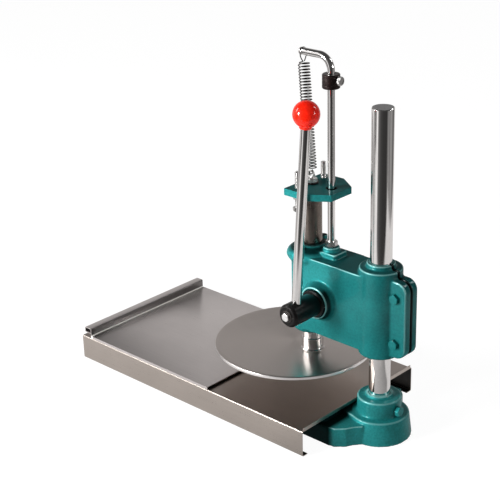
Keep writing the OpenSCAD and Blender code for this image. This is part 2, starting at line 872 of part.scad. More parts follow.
module hub_washer() {
    color(zinc_color)
        difference() {
            along_y(18, -hub_end_y - hub_washer_t, -hub_end_y, pinion_x, gear_z);
            along_y(bolt_hole_d, -hub_end_y - hub_washer_t - cut, -hub_end_y + cut, pinion_x, gear_z);
        }
}

module hub_bolt() {
    head_y = hub_end_y + hub_washer_t;
    color(zinc_color) {
        along_y(hub_bolt_d, -head_y, -shaft_near_y + hub_bolt_grip, pinion_x, gear_z);
        translate([pinion_x, -head_y, gear_z])
            rotate([90, 0, 0])
                hexagon(hub_bolt_af, hub_bolt_head);
    }
}

module lever_rod() {
    color(chrome_color)
        along_lever()
            translate([0, 0, rod_seat_r + seat_gap])
                cylinder(d = lever_d, h = lever_l - rod_seat_r - seat_gap + ball_d / 6);
}

module ball_knob() {
    color("red")
        along_lever()
            difference() {
                union() {
                    translate([0, 0, lever_l])
                        sphere(d = ball_d, $fn = 96);
                    translate([0, 0, lever_l - ball_neck_drop])
                        cylinder(d = ball_neck_d, h = ball_neck_drop);
                }
                translate([0, 0, lever_l - ball_d])
                    cylinder(d = lever_d + 2 * seat_gap, h = ball_d + ball_d / 6 + 2 * seat_gap);
            }
}

// Ram: a round bar with a rack cut in its back
module ram() {
    color(steel_color)
        difference() {
            union() {
                translate([0, 0, plate_top + socket_h])
                    cylinder(d = ram_d, h = top_plate_z - plate_top - socket_h, $fn = 96);
                translate([0, 0, plate_top + 0.2])
                    cylinder(d = spigot_d, h = socket_h);
            }
            for (k = [rack_low_gap : rack_high_gap])
                translate([rack_x, 0, gear_z + k * rack_pitch])
                    upright(ram_d + 2 * cut)
                        rack_gap();
            translate([0, 0, top_plate_z - anchor_depth])
                cylinder(d = anchor_d + 2 * seat_gap, h = anchor_depth + cut);
        }
}

// The gap between two rack teeth, drawn from the pitch line
module rack_gap() {
    depth = rack_x - rack_root_x;
    height = gear_m + 1.5;
    half = rack_pitch / 4 + backlash / 2;
    polygon([
        [-depth, -half + depth * tan(tooth_angle)], [height, -half - height * tan(tooth_angle)],
        [height, half + height * tan(tooth_angle)], [-depth, half - depth * tan(tooth_angle)]]);
}

module press_plate() {
    bevel = 0.6;
    color(steel_color)
        translate([-plate_offset, 0, plate_z])
            rotate_extrude($fn = 128)
                polygon([[0, 0], [plate_d / 2 - bevel, 0], [plate_d / 2, bevel],
                    [plate_d / 2, plate_t - bevel], [plate_d / 2 - bevel, plate_t], [0, plate_t]]);
}

module plate_socket() {
    color(chrome_color)
        difference() {
            translate([0, 0, plate_top])
                cylinder(d = socket_d, h = socket_h, $fn = 96);
            translate([0, 0, plate_top - cut])
                cylinder(d = spigot_d + 2 * seat_gap, h = socket_h + 2 * cut);
            along_x(socket_screw_d + 2 * seat_gap, 0, socket_d, 0, socket_screw_z);
        }
}

module socket_screw() {
    color(zinc_color)
        along_x(socket_screw_d, spigot_d / 2 + seat_gap, socket_d / 2 + 2.2, 0, socket_screw_z);
}

module top_plate() {
    x0 = -top_plate_front;
    x1 = top_plate_back;
    color(casting_color)
        difference() {
            translate([0, 0, top_plate_z])
                linear_extrude(top_plate_t)
                    polygon([[x0, -top_plate_y], [x1 - top_cut_x, -top_plate_y],
                        [x1, -top_plate_y + top_cut_y], [x1, top_plate_y - top_cut_y],
                        [x1 - top_cut_x, top_plate_y], [x0, top_plate_y]]);
            translate([0, 0, top_plate_z - cut])
                cylinder(d = anchor_d + 0.5, h = top_plate_t + 2 * cut);
            translate([rod_x, 0, top_plate_z - cut])
                cylinder(d = rod_hole_d, h = top_plate_t + 2 * cut);
            for (side = [-1, 1])
                translate([-stop_x, side * stop_y, top_plate_z - cut])
                    cylinder(d = stop_d + 2 * run, h = top_plate_t + 2 * cut);
        }
}

// Anchor: an eye on a threaded shank that clamps the top plate to the ram
module spring_anchor() {
    color(zinc_color) {
        translate([0, 0, top_plate_z - anchor_depth + 0.5])
            cylinder(d = anchor_d, h = anchor_depth + top_plate_t + washer_t + anchor_nut_h + 0.7);
        translate([0, 0, eye_z])
            rotate([90, 0, 0])
                rotate_extrude($fn = 48)
                    translate([eye_r, 0])
                        circle(d = eye_wire_d, $fn = 24);
    }
}

module anchor_nut() {
    color(zinc_color)
        translate([0, 0, top_plate_top + washer_t])
            hex_nut(anchor_af, anchor_d + 2 * seat_gap, anchor_nut_h);
}

module anchor_washer() {
    color(zinc_color)
        translate([0, 0, top_plate_top])
            difference() {
                cylinder(d = 20, h = washer_t);
                translate([0, 0, -cut])
                    cylinder(d = anchor_d + 2 * seat_gap, h = washer_t + 2 * cut);
            }
}

// The nut that locks a depth stop, on the given side of the press
module lock_nut(side) {
    color(zinc_color)
        translate([-stop_x, side * stop_y, top_plate_z - lock_nut_h])
            hex_nut(stop_af, stop_d + 2 * run, lock_nut_h);
}

// A depth stop: a bolt, head down, on the given side of the press
module stop_bolt(side) {
    color(zinc_color)
        translate([-stop_x, side * stop_y, stop_head_z]) {
            hexagon(stop_af, stop_head_h);
            cylinder(d = stop_d, h = stop_top_z - stop_head_z);
        }
}

module stop_collar() {
    color(dark_color)
        difference() {
            translate([rod_x, 0, collar_z])
                cylinder(d = collar_d, h = collar_h);
            translate([rod_x, 0, collar_z - cut])
                cylinder(d = rod_d + 2 * run, h = collar_h + 2 * cut);
            along_x(thumb_screw_d + 2 * run, rod_x, rod_x + collar_d, 0, thumb_z);
        }
}

module thumb_screw() {
    head_x = rod_x + collar_d / 2 + thumb_gap;
    color(zinc_color)
        difference() {
            union() {
                along_x(thumb_screw_d, rod_x + rod_d / 2 + tip_gap, head_x, 0, thumb_z);
                along_x(thumb_d, head_x, head_x + thumb_head_l, 0, thumb_z);
            }
            translate([head_x + thumb_head_l - 1.4, -thumb_d, thumb_z - 0.7])
                cube([1.4 + cut, 2 * thumb_d, 1.4]);
        }
}

// A wire swept along points, as one closed surface, from a sideways direction at its start
function unit(v) = v / norm(v);
function path_dir(p, i) = unit(p[min(i + 1, len(p) - 1)] - p[max(i - 1, 0)]);
function square_to(u, t) = unit(u - (u * t) * t);
function side_dirs(p, first) = [
    for (i = 0, u = square_to(first, path_dir(p, 0)); i < len(p);
        i = i + 1, u = square_to(u, path_dir(p, min(i, len(p) - 1)))) u];
module wire(p, d, sides, first) {
    n = len(p);
    u = side_dirs(p, first);
    rings = [for (i = [0 : n - 1])
        let (v = cross(path_dir(p, i), u[i]))
        for (s = [0 : sides - 1])
            p[i] + d / 2 * (cos(360 * s / sides) * u[i] + sin(360 * s / sides) * v)];
    skin = [for (i = [0 : n - 2], s = [0 : sides - 1])
        let (a = i * sides + s, b = i * sides + (s + 1) % sides)
        each [[a, b + sides, b], [a, a + sides, b + sides]]];
    start = [for (s = [1 : sides - 2]) [0, s, s + 1]];
    end = [for (s = [1 : sides - 2])
        [(n - 1) * sides, (n - 1) * sides + s + 1, (n - 1) * sides + s]];
    polyhedron(points = rings, faces = concat(skin, start, end), convexity = 10);
}

// Points of a curve that leaves a along one handle and reaches d along the other, ends left out
function bend(a, b, c, d, n) = [for (i = [1 : n - 1])
    let (t = i / n, m = 1 - t)
    m * m * m * a + 3 * m * m * t * b + 3 * m * t * t * c + t * t * t * d];

// The spring's points in its own frame, whose Z runs up along its axis to the arm at 0
coil_start_z = -(spring_span - spring_body_l) * 0.7;
coil_end_z = coil_start_z - spring_body_l;
coil_rings = spring_turns * rings_a_turn;
hook_arc = 215;
coil = [for (i = [0 : coil_rings])
    let (a = 360 * i / rings_a_turn - 90)
    [coil_r * cos(a), coil_r * sin(a), coil_start_z - spring_body_l * i / coil_rings]];
upper_hook = [for (i = [0 : hook_steps])
    let (a = hook_arc * (1 - i / hook_steps))
    [0, -hook_r * cos(a), hook_r * sin(a)]];
lower_hook = [for (i = [0 : hook_steps])
    let (a = hook_arc * i / hook_steps)
    [0, -low_hook_r * cos(a), -spring_span + low_hook_r * (1 - sin(a))]];
upper_end = upper_hook[hook_steps];
lower_start = lower_hook[0];
coil_last = coil[coil_rings];
spring_points = concat(
    upper_hook,
    bend(upper_end, upper_end - [0, 0, 5], coil[0] + [-5, 0, 1], coil[0], lead_steps),
    coil,
    bend(coil_last, coil_last + [4, 0, -1], lower_start + [0, 0, 2], lower_start, lead_steps),
    lower_hook);

// Least distance between wire stretches that aren't neighbours, less the wire
gap_skip = 5;
least_gap = min([for (i = [0 : 2 : len(spring_points) - 1 - gap_skip])
    for (j = [i + gap_skip : min(i + 3 * rings_a_turn, len(spring_points) - 1)])
        norm(spring_points[i] - spring_points[j])]) - wire_d;

module return_spring() {
    echo(str("least gap of the spring to itself: ", least_gap, " mm"));
    color(zinc_color)
        translate(spring_top)
            rotate([0, -spring_tilt, 0])
                wire(spring_points, wire_d, spring_sides, [1, 0, 0]);
}

base_casting();
base_set_screw();
tray();
tray_stud(0);  // tray_stud_1
tray_stud(1);  // tray_stud_2
tray_stud(2);  // tray_stud_3
tray_stud(3);  // tray_stud_4
tray_nut(0);  // tray_nut_1
tray_nut(1);  // tray_nut_2
tray_nut(2);  // tray_nut_3
tray_nut(3);  // tray_nut_4
slide_board();
column();
head_casting();
clamp_bolt(clamp_low_z);  // low_clamp_bolt
clamp_bolt(clamp_high_z);  // high_clamp_bolt
clamp_nut(clamp_low_z);  // low_clamp_nut
clamp_nut(clamp_high_z);  // high_clamp_nut
near_bush();
far_bush();
guide_rod();
guide_rod_nut();
return_spring();
ram();
press_plate();
plate_socket();
socket_screw();
top_plate();
spring_anchor();
anchor_nut();
anchor_washer();
lock_nut(-1);  // near_lock_nut
lock_nut(1);  // far_lock_nut
stop_bolt(-1);  // near_stop_bolt
stop_bolt(1);  // far_stop_bolt
pinion_shaft();
pinion();
pinion_key();
hub_key();
lever_hub();
hub_bolt();
hub_washer();
lever_rod();
ball_knob();
shaft_washer();
shaft_circlip();
stop_collar();
thumb_screw();
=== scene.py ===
"""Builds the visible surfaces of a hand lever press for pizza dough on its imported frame."""

import math

import bmesh
import bpy
import numpy as np
from bpy.props import FloatProperty, FloatVectorProperty, IntProperty, PointerProperty
from mathutils import Matrix, Vector


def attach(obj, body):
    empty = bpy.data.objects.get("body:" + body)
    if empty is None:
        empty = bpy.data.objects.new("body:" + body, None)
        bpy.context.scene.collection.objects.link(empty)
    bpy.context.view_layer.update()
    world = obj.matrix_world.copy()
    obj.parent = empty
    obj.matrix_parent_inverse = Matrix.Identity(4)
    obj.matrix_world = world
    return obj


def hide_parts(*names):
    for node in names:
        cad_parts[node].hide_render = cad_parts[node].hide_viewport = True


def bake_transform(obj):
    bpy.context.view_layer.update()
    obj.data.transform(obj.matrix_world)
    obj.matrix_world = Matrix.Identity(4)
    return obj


bl_info = {
    "name": "Dough press",
    "version": (1, 0, 0),
    "blender": (4, 5, 0),
    "location": "View3D > Sidebar > Dough press",
    "description": "Builds the castings, sheet metal, rods, spring and fasteners of a dough press",
    "category": "Add Mesh",
}

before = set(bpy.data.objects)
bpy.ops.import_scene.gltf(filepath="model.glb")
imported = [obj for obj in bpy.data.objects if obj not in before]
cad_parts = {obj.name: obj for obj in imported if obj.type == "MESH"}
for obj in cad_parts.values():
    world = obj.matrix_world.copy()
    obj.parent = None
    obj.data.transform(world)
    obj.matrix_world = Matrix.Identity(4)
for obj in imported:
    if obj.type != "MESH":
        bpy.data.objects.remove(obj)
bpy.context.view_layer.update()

MM = 0.001

# Axes and main sizes of the frame, in millimetres. X runs to the column, Y away from the lever, Z up.
RAM = np.array([0.0, 0.0, 0.0])
COLUMN = np.array([125.6, 0.0, 0.0])
ROD = np.array([36.5, 0.0, 0.0])
SHAFT = np.array([40.3, 0.0, 194.8])
PLATE = np.array([-36.0, 0.0, 0.0])
UP = np.array([0.0, 0.0, 1.0])
NEAR = np.array([0.0, -1.0, 0.0])
BACK = np.array([1.0, 0.0, 0.0])
COLUMN_R, ROD_R, PLATE_R = 15.5, 5.25, 120
PLATE_LOW, PLATE_TOP, SOCKET_TOP, COLUMN_TOP = 90.5, 96, 116, 489.7
ARM_Z, EYE_Z, HOOK_X = 543.5, 368.5, -13.4
LEVER_START = SHAFT + 82.1 * NEAR
LEVER_LEAN = math.radians(4.4)
LEVER = np.array([math.sin(LEVER_LEAN), 0, math.cos(LEVER_LEAN)])
OPEN_SLIT = 3.6
# Underside of the tray's top sheet, and a height over its top face, in metres
SHEET_LOW, SHEET_HIGH = 0.0402, 0.042


# ---------------------------------------------------------------- surfaces


def unit(v):
    """Each row of v divided by its length."""
    v = np.asarray(v, float)
    return v / np.linalg.norm(v, axis=-1, keepdims=True)


def across(direction):
    """Two unit vectors square to a direction and to each other."""
    d = unit(direction)
    first = unit(np.cross(d, BACK if abs(d[0]) < 0.9 else -NEAR))
    return first, np.cross(d, first)


def full_turn(steps):
    """The angles of a whole turn in equal steps, without its end."""
    return np.linspace(0, 2 * np.pi, steps, endpoint=False)


def soften(points, radius, steps=5):
    """A polyline whose inner corners are parabolas between two points, each a radius away from its corner.

    (1-t)^2 a + 2t(1-t) corner + t^2 b, for all corners and all t at once.
    """
    p = np.asarray(points, float)
    inner = p[1:-1]
    before, after = p[:-2] - inner, p[2:] - inner
    reach = 0.49 * np.minimum(np.linalg.norm(before, axis=1), np.linalg.norm(after, axis=1))
    r = np.minimum(radius, reach)[:, None, None]
    a = inner[:, None] + unit(before)[:, None] * r
    b = inner[:, None] + unit(after)[:, None] * r
    t = np.linspace(0, 1, steps)[None, :, None]
    curve = (1 - t) ** 2 * a + 2 * t * (1 - t) * inner[:, None] + t**2 * b
    return np.vstack([p[:1], curve.reshape(-1, p.shape[1]), p[-1:]])


def bend(a, b, c, d, steps=14):
    """A cubic from a to d with handles at b and c, without its ends."""
    t = np.linspace(0, 1, steps + 2)[1:-1, None]
    a, b, c, d = (np.asarray(p, float) for p in (a, b, c, d))
    return (1 - t) ** 3 * a + 3 * (1 - t) ** 2 * t * b + 3 * (1 - t) * t**2 * c + t**3 * d


def about(radii, heights, centre, direction, has_hole=False):
    """A grid of points about a direction through centre, one column for each angle.

    Point (i, j) = centre + height_ij * direction + radius_ij * (cos a_j * first + sin a_j * second).
    """
    first, second = across(direction)
    a = full_turn(radii.shape[1])
    ring = np.cos(a)[:, None] * first + np.sin(a)[:, None] * second
    grid = radii[..., None] * ring + heights[..., None] * unit(direction)
    return grid + np.asarray(centre, float), has_hole, True


def turned(profile, centre, direction, around=96):
    """A profile of (radius, height) pairs, all turned about the direction through centre."""
    radii, heights = np.repeat(np.asarray(profile, float).T[..., None], around, axis=2)
    return about(radii, heights, centre, direction)


def six_sided(across_flats, angle):
    """Distance from a hexagon's centre to its edge in each direction, with flats of the given distance."""
    sixth = np.pi / 3
    return across_flats / 2 / np.cos((angle + sixth / 2) % sixth - sixth / 2)


def hexagonal(across_flats, height, centre, direction, hole=0.0, turn=0.0, cut_low=True, cut_high=True):
    """A hexagon with its corners turned off by 30 degree cones, as on a nut or a bolt's head.

    Each row is a ring: the hexagon's own distance h(a) at the sides, a circle at the faces, and between
    them the cone height = face - (h(a) - circle) * tan 30.
    """
    h = six_sided(across_flats, full_turn(48) + turn)
    circle = 0.475 * across_flats
    drop = (h - circle) * math.tan(math.radians(30))
    flat, inner, zero, top = (np.full_like(h, value) for value in (circle, hole, 0, height))
    radii = np.stack([inner, flat if cut_low else h, h, h, flat if cut_high else h, inner])
    heights = np.stack([zero, zero, cut_low * drop, height - cut_high * drop, top, top])
    return about(radii, heights, centre, direction, hole > 0)


def threaded(radius, depth, pitch, length, centre, direction, around=28):
    """A screw thread: radius - depth * triangle(height / pitch - angle / turn), bevelled at its far end."""
    rings_a_pitch, bevel = 8, 0.9
    h = np.linspace(0, length, int(length / pitch * rings_a_pitch) + 1)[:, None]
    phase = (h / pitch - full_turn(around) / (2 * np.pi)) % 1
    r = radius - depth * np.clip(1.25 * np.abs(2 * phase - 1) - 0.1, 0, 1)
    r = np.minimum(r, radius - bevel + (length - h))
    ends = ((1, 1), (0, 0))
    return about(np.pad(r, ends), np.pad(h, ends, "edge"), centre, direction)


def swept(path, reference, radius, around=16, tangents=None):
    """A round bar along a path, closed at both ends.

    The ring at each point lies in the plane of T x R and T x (T x R), where T runs along the path and R is
    the reference direction given for that point. The ends shrink to a point on the path.
    """
    path = np.asarray(path, float)
    t = unit(np.gradient(path, axis=0)) if tangents is None else tangents
    n = unit(np.cross(t, np.broadcast_to(reference, path.shape)))
    b = np.cross(t, n)
    a = full_turn(around)
    size = np.broadcast_to(radius, (len(path),))[:, None, None]
    rings = np.cos(a)[None, :, None] * n[:, None] + np.sin(a)[None, :, None] * b[:, None]
    grid = path[:, None] + size * rings
    first, last = (np.broadcast_to(end, grid[:1].shape) for end in (path[0], path[-1]))
    return np.concatenate([first, grid, last]), False, True


def steady_tangents(path):
    """Directions along a path in which points may coincide, as where a bar's size steps."""
    gap = np.linalg.norm(np.diff(path, axis=0), axis=1)
    along = np.concatenate([[0], np.cumsum(np.maximum(gap, 1e-6))])
    t = np.gradient(path, along, axis=0)
    t[np.linalg.norm(t, axis=1) < 1e-3] = unit(path[-1] - path[-4])
    return unit(t)


def quads(grid, wrap_rows, wrap_columns):
    """The four corners of every cell of a grid of points, as an array of indices."""
    rows, columns = grid.shape[:2]
    index = np.arange(rows * columns).reshape(rows, columns)
    if wrap_rows:
        index = np.vstack([index, index[:1]])
    if wrap_columns:
        index = np.hstack([index, index[:, :1]])
    cells = [index[:-1, :-1], index[1:, :-1], index[1:, 1:], index[:-1, 1:]]
    return np.stack(cells, axis=-1).reshape(-1, 4)


def outward(points, cells):
    """The same cells, turned round where the volume that they enclose comes out negative."""
    a, b, c, d = (points[cells[:, i]] for i in range(4))
    volume = np.einsum("ij,ij->", a, np.cross(b, c)) + np.einsum("ij,ij->", a, np.cross(c, d))
    return cells if volume >= 0 else cells[:, ::-1]


def numbers(items, name, width=3, kind=float):
    """One attribute of every corner, edge or face of a mesh, a row for each."""
    values = np.zeros(len(items) * width, kind)
    items.foreach_get(name, values)
    return values.reshape(-1, width)


def place_corners(mesh, co):
    """Writes the coordinates of all corners of a mesh."""
    mesh.vertices.foreach_set("co", co.astype(np.float32).ravel())


def smooth(mesh, sharp):
    """Smooth shading, with sharp edges past an angle in degrees."""
    mesh.shade_smooth()
    mesh.set_sharp_from_angle(angle=math.radians(sharp))


def cleaned(mesh, distance, flat=None):
    """Merges corners of a mesh that coincide and, where flat is given, faces within that many degrees."""
    work = bmesh.new()
    work.from_mesh(mesh)
    bmesh.ops.remove_doubles(work, verts=work.verts, dist=distance)
    if flat:
        bmesh.ops.dissolve_limit(work, angle_limit=math.radians(flat), verts=work.verts, edges=work.edges)
    work.to_mesh(mesh)
    work.free()
    return mesh


def make_object(name, mesh, body, kind, replaces):
    """Links a mesh as one piece of the press that rides on a body, with a finish."""
    obj = bpy.data.objects.new(name, mesh)
    bpy.context.scene.collection.objects.link(obj)
    mesh.materials.clear()
    mesh.materials.append(surface(kind))
    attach(obj, body)
    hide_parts(*replaces)
    return obj


def make_mesh(name, parts, sharp):
    """One mesh, in metres, of several grids in millimetres, each closed and facing outwards."""
    points, cells, start = [], [], 0
    for grid, wrap_rows, wrap_columns in parts:
        flat = grid.reshape(-1, 3)
        cells.append(outward(flat, quads(grid, wrap_rows, wrap_columns)) + start)
        points.append(flat)
        start += len(flat)
    points, cells = np.vstack(points) * MM, np.vstack(cells)
    mesh = bpy.data.meshes.new(name)
    mesh.from_pydata(points.tolist(), [], cells.tolist())
    smooth(cleaned(mesh, 1e-7), sharp)
    return mesh


def piece(name, parts, body, kind, replaces, sharp):
    """A piece made of grids."""
    return make_object(name, make_mesh(name, parts, sharp), body, kind, replaces)


def welded_copy(node, name):
    """A copy of a CAD node's mesh with its corners merged and its flat neighbours joined."""
    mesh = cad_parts[node].data.copy()
    mesh.name = name
    return cleaned(mesh, 2e-6, 0.4)


def finish_node(node, kind, sharp):
    """Gives a CAD node its finish and smooth shading, where its own shape is kept."""
    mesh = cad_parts[node].data
    mesh.materials.clear()
    mesh.materials.append(surface(kind))
    smooth(mesh, sharp)


def paint_faces(obj, **finishes):
    """Gives a piece more finishes, each on the faces that its test of (normals, centres) picks."""
    polygons = obj.data.polygons
    normals, centres = numbers(polygons, "normal"), numbers(polygons, "center")
    index = np.zeros(len(polygons), np.int32)
    for i, (kind, picks) in enumerate(finishes.items()):
        obj.data.materials.append(surface(kind))
        index[picks(normals, centres)] = i + 1
    polygons.foreach_set("material_index", index)


def relaxed(mesh, rounds, share):
    """Moves each corner a share of the way to the mean of its neighbours, over and over, in whole arrays."""
    co = numbers(mesh.vertices, "co")
    ends = numbers(mesh.edges, "vertices", 2, np.int64)
    count, (a, b) = len(co), ends.T
    near = np.maximum(np.bincount(ends.ravel(), minlength=count), 1)[:, None]
    for _ in range(rounds):
        total = [np.bincount(a, co[b, k], count) + np.bincount(b, co[a, k], count) for k in range(3)]
        co += share * (np.stack(total, axis=1) / near - co)
    return co


def slit_walls(mesh, start, width, new_width):
    """Moves the walls of a slit in the plane y = 0, beyond x = start, from one width to another.

    |y| is carried from (0, width / 2, reach) to (0, new_width / 2, reach), so that the shift fades out.
    """
    reach = 8 * MM
    co = numbers(mesh.vertices, "co")
    y = co[:, 1]
    old, new = (0, width / 2 * MM, reach), (0, new_width / 2 * MM, reach)
    moved = np.sign(y) * np.where(np.abs(y) < reach, np.interp(np.abs(y), old, new), np.abs(y))
    co[:, 1] = np.where(co[:, 0] > start * MM, moved, y)
    place_corners(mesh, co)


def cast_copy(node, name, body, voxel, rounds, bores, slit=None):
    """A casting: a CAD node's mesh rebuilt in small cubes and relaxed, so that every edge and corner is soft.

    slit gives a slit's start and width, which is held wide open while the mesh is rebuilt.

    bores lists (centre, direction, radius, reach, low, high): surface within reach of that radius, between
    two heights along the direction, is set back to the radius, so that nothing that turns there is touched.
    """
    source = bpy.data.objects.new(name, welded_copy(node, name + ".source"))
    bpy.context.scene.collection.objects.link(source)
    if slit:
        slit_walls(source.data, *slit, OPEN_SLIT)
    remesh = source.modifiers.new("cast", "REMESH")
    remesh.mode = "VOXEL"
    remesh.voxel_size = voxel * MM
    graph = bpy.context.evaluated_depsgraph_get()
    mesh = bpy.data.meshes.new_from_object(source.evaluated_get(graph))
    mesh.name = name
    bpy.data.objects.remove(source)
    co = relaxed(mesh, rounds, 0.5)
    if slit:
        start, width = slit
        place_corners(mesh, co)
        slit_walls(mesh, start, OPEN_SLIT, width)
        co = numbers(mesh.vertices, "co")
    for centre, direction, radius, reach, low, high in bores:
        offset = co - centre * MM
        height = offset @ direction
        radial = offset - height[:, None] * direction
        r = np.linalg.norm(radial, axis=1)
        inside = (r < (radius + reach) * MM) & (r > 0.5 * radius * MM) & (height > low * MM) & (height < high * MM)
        push = np.where(inside, np.maximum(radius * MM / np.maximum(r, 1e-9), 1), 1)
        co = co + radial * (push - 1)[:, None]
    place_corners(mesh, co)
    mesh.update()
    mesh.shade_smooth()
    return make_object(name, mesh, body, "enamel", (node,))


def bevelled_copy(node, name, body, kind, width, segments=2):
    """A CAD node's mesh with its sharp edges bevelled, for cut plate and folded sheet."""
    sharp = 30
    obj = make_object(name, welded_copy(node, name), body, kind, (node,))
    bevel = obj.modifiers.new("bevel", "BEVEL")
    bevel.width = width * MM
    bevel.segments = segments
    bevel.limit_method = "ANGLE"
    bevel.angle_limit = math.radians(sharp)
    bevel.harden_normals = True
    smooth(obj.data, sharp)
    return obj


# ---------------------------------------------------------------- nodes


class Nodes:
    """A node tree, with a short call for each node that the finishes are made of. A value is a socket,
    which is linked, or a number, vector or colour, which is set."""

    def __init__(self, tree):
        self.tree = tree

    def join(self, socket, value):
        """Links or sets one input."""
        if isinstance(value, bpy.types.NodeSocket):
            self.tree.links.new(value, socket)
        elif socket.type == "RGBA" and len(value) == 3:
            socket.default_value = (*value, 1)
        else:
            socket.default_value = value

    def feed(self, node, *values, first=0):
        """Feeds a node's inputs in turn, from the first one on."""
        for socket, value in zip(node.inputs[first:], values):
            self.join(socket, value)
        return node

    def fill(self, node, **values):
        """Sets a node's own properties and feeds its inputs, by name."""
        for key, value in values.items():
            if hasattr(node, key):
                setattr(node, key, value)
            else:
                self.join(node.inputs[key.replace("_", " ")], value)
        return node

    def add(self, kind, **values):
        """A new shader node."""
        return self.fill(self.tree.nodes.new("ShaderNode" + kind), **values)

    def maths(self, operation, *values):
        """A Math node's result."""
        return self.feed(self.add("Math", operation=operation), *values).outputs[0]

    def times(self, product, *values):
        """The product of all values."""
        for value in values:
            product = self.maths("MULTIPLY", product, value)
        return product

    def vector(self, operation, *values):
        """A Vector Math node's result, a number for a length, a distance or a dot product."""
        node = self.feed(self.add("VectorMath", operation=operation), *values)
        return node.outputs["Value" if operation in ("LENGTH", "DISTANCE", "DOT_PRODUCT") else "Vector"]

    def noise(self, vector, scale, detail=2.0, roughness=0.5):
        """Noise whose scale, or whose scale along each axis, is given in cells a metre."""
        stretched = self.vector("MULTIPLY", vector, tuple(np.ones(3) * scale))
        node = self.add("TexNoise", Vector=stretched, Scale=1.0, Detail=detail, Roughness=roughness)
        return node.outputs["Fac"]

    def ramp(self, value, low, high, to_low=0.0, to_high=1.0):
        """Carries a value from one range to another, clamped."""
        node = self.add("MapRange", Value=value, From_Min=low, From_Max=high, To_Min=to_low, To_Max=to_high)
        return node.outputs["Result"]

    def mix(self, factor, low, high):
        """A colour between two colours, by a mask."""
        return self.feed(self.add("Mix", data_type="RGBA", Factor=factor), low, high, first=6).outputs[2]

    def tones(self, mask, base, low, high):
        """A colour made darker and lighter by two factors, by a mask."""
        return self.mix(mask, base * low, np.minimum(base * high, 1))

    def greys(self, share, stops):
        """A ramp of warm greys through (share, value) pairs."""
        node = self.add("ValToRGB", Fac=share)
        elements = node.color_ramp.elements
        elements.remove(elements[-1])
        for i, (position, value) in enumerate(stops):
            element = elements[0] if i == 0 else elements.new(position)
            element.position = position
            element.color = (value, value * 0.97, value * 0.96, 1)
        return node.outputs["Color"]

    def split(self, vector, prefix=""):
        """The parts of a vector, by name."""
        node = self.feed(self.add("SeparateXYZ"), vector)
        return {prefix + axis: node.outputs[axis.upper()] for axis in "xyz"}

    def places(self, at):
        """Sockets by name: x, y, z of the object's coordinates, nx, ny, nz of the normal, and the curve of
        the surface, which is 0.5 where it is flat and more on an outer edge."""
        geometry = self.add("NewGeometry").outputs
        return {"curve": geometry["Pointiness"], **self.split(at), **self.split(geometry["Normal"], "n")}

    def within(self, sources, *limits):
        """A mask: the product of one ramp for each (source, where it is 0, where it reaches 1)."""
        return self.times(*(self.ramp(sources[name], out, full) for name, out, full in limits))

    def bump(self, height, strength, distance):
        """A normal bent by a height, with its depth in metres."""
        return self.add("Bump", Height=height, Strength=strength, Distance=distance).outputs["Normal"]

    def either(self, factor, low, high):
        """A shader between two shaders."""
        return self.feed(self.add("MixShader"), factor, low, high).outputs[0]


def cast_skin(n, vector):
    """Painted casting: height of the sand-cast skin under the paint, and a slow change of its tone."""
    broad, fine = n.noise(vector, 90), n.noise(vector, 420)
    slow, quick = (n.ramp(n.noise(vector, scale, 3.0), 0.3, 0.7, 0, 0.5) for scale in (26, 330))
    return {"Height": n.maths("ADD", broad, n.times(fine, 0.22)), "Tone": n.maths("ADD", slow, quick)}


def brushed_lines(n, vector):
    """Brushed sheet: fine straight lines along X, and broad clouds where the lines lie closer."""
    lines = n.noise(vector, (14, 1500, 1500), 3.0, 0.65)
    return {"Lines": lines, "Clouds": n.ramp(n.noise(vector, (7, 11, 11), 3.0), 0.3, 0.7)}


def smudges(n, vector, amount):
    """Handling marks: a patchy change of roughness at the size of a finger."""
    return {"Shift": n.times(n.ramp(n.noise(vector, 55, 4.0, 0.6), 0.35, 0.75), amount)}


def turned_rings(n, vector):
    """Turned metal: rings about an axis along Z through the object's coordinates, as noise of the radius."""
    rings_a_metre = 1100.0
    radius = n.vector("LENGTH", n.vector("MULTIPLY", vector, (1, 1, 0)))
    noise = n.add("TexNoise", noise_dimensions="1D", W=n.times(radius, rings_a_metre), Scale=1.0, Detail=3.0)
    return {"Rings": noise.outputs["Fac"]}


# What bright metal sees of the room: (degrees from the camera's side, grey) below and above the horizon
LOW_ROOM = (
    (-180, 0.92), (-122, 0.9), (-106, 0.6), (-96, 0.3), (-90, 0.1), (-76, 0.1), (-70, 0.5), (-64, 1.0),
    (-55, 1.0), (-50, 0.3), (-40, 0.12), (-22, 0.06), (0, 0.04), (34, 0.035), (40, 0.14), (56, 0.3),
    (64, 0.12), (70, 0.3), (90, 0.3), (98, 0.2), (106, 0.12), (122, 0.12), (134, 0.6), (180, 0.92),
)
HIGH_ROOM = (
    (-180, 0.52), (-150, 0.52), (-130, 0.35), (-112, 0.4), (-106, 1.0), (-62, 1.0), (-52, 0.35),
    (-30, 0.08), (30, 0.08), (60, 0.12), (108, 0.12), (120, 0.25), (150, 0.5), (180, 0.52),
)


def studio_room(n, vector, camera_azimuth):
    """What bright metal sees of the room, by the direction from the press: its camera side is dark, and
    its far side and flanks are light. One ramp by azimuth holds below the horizon, another above it."""
    parts = n.split(n.vector("NORMALIZE", vector))
    turn = n.maths("SUBTRACT", n.maths("ARCTAN2", parts["y"], parts["x"]), camera_azimuth)
    share = n.maths("FRACT", n.maths("DIVIDE", n.maths("ADD", turn, 3 * math.pi), 2 * math.pi))
    low, high = (
        n.greys(share, [((degrees + 180) / 360, value) for degrees, value in room])
        for room in (LOW_ROOM, HIGH_ROOM)
    )
    sides = n.mix(n.ramp(parts["z"], -0.1, 0.15), low, high)
    return {"Light": n.mix(n.ramp(parts["z"], 0.42, 0.7), sides, (0.06, 0.06, 0.06))}


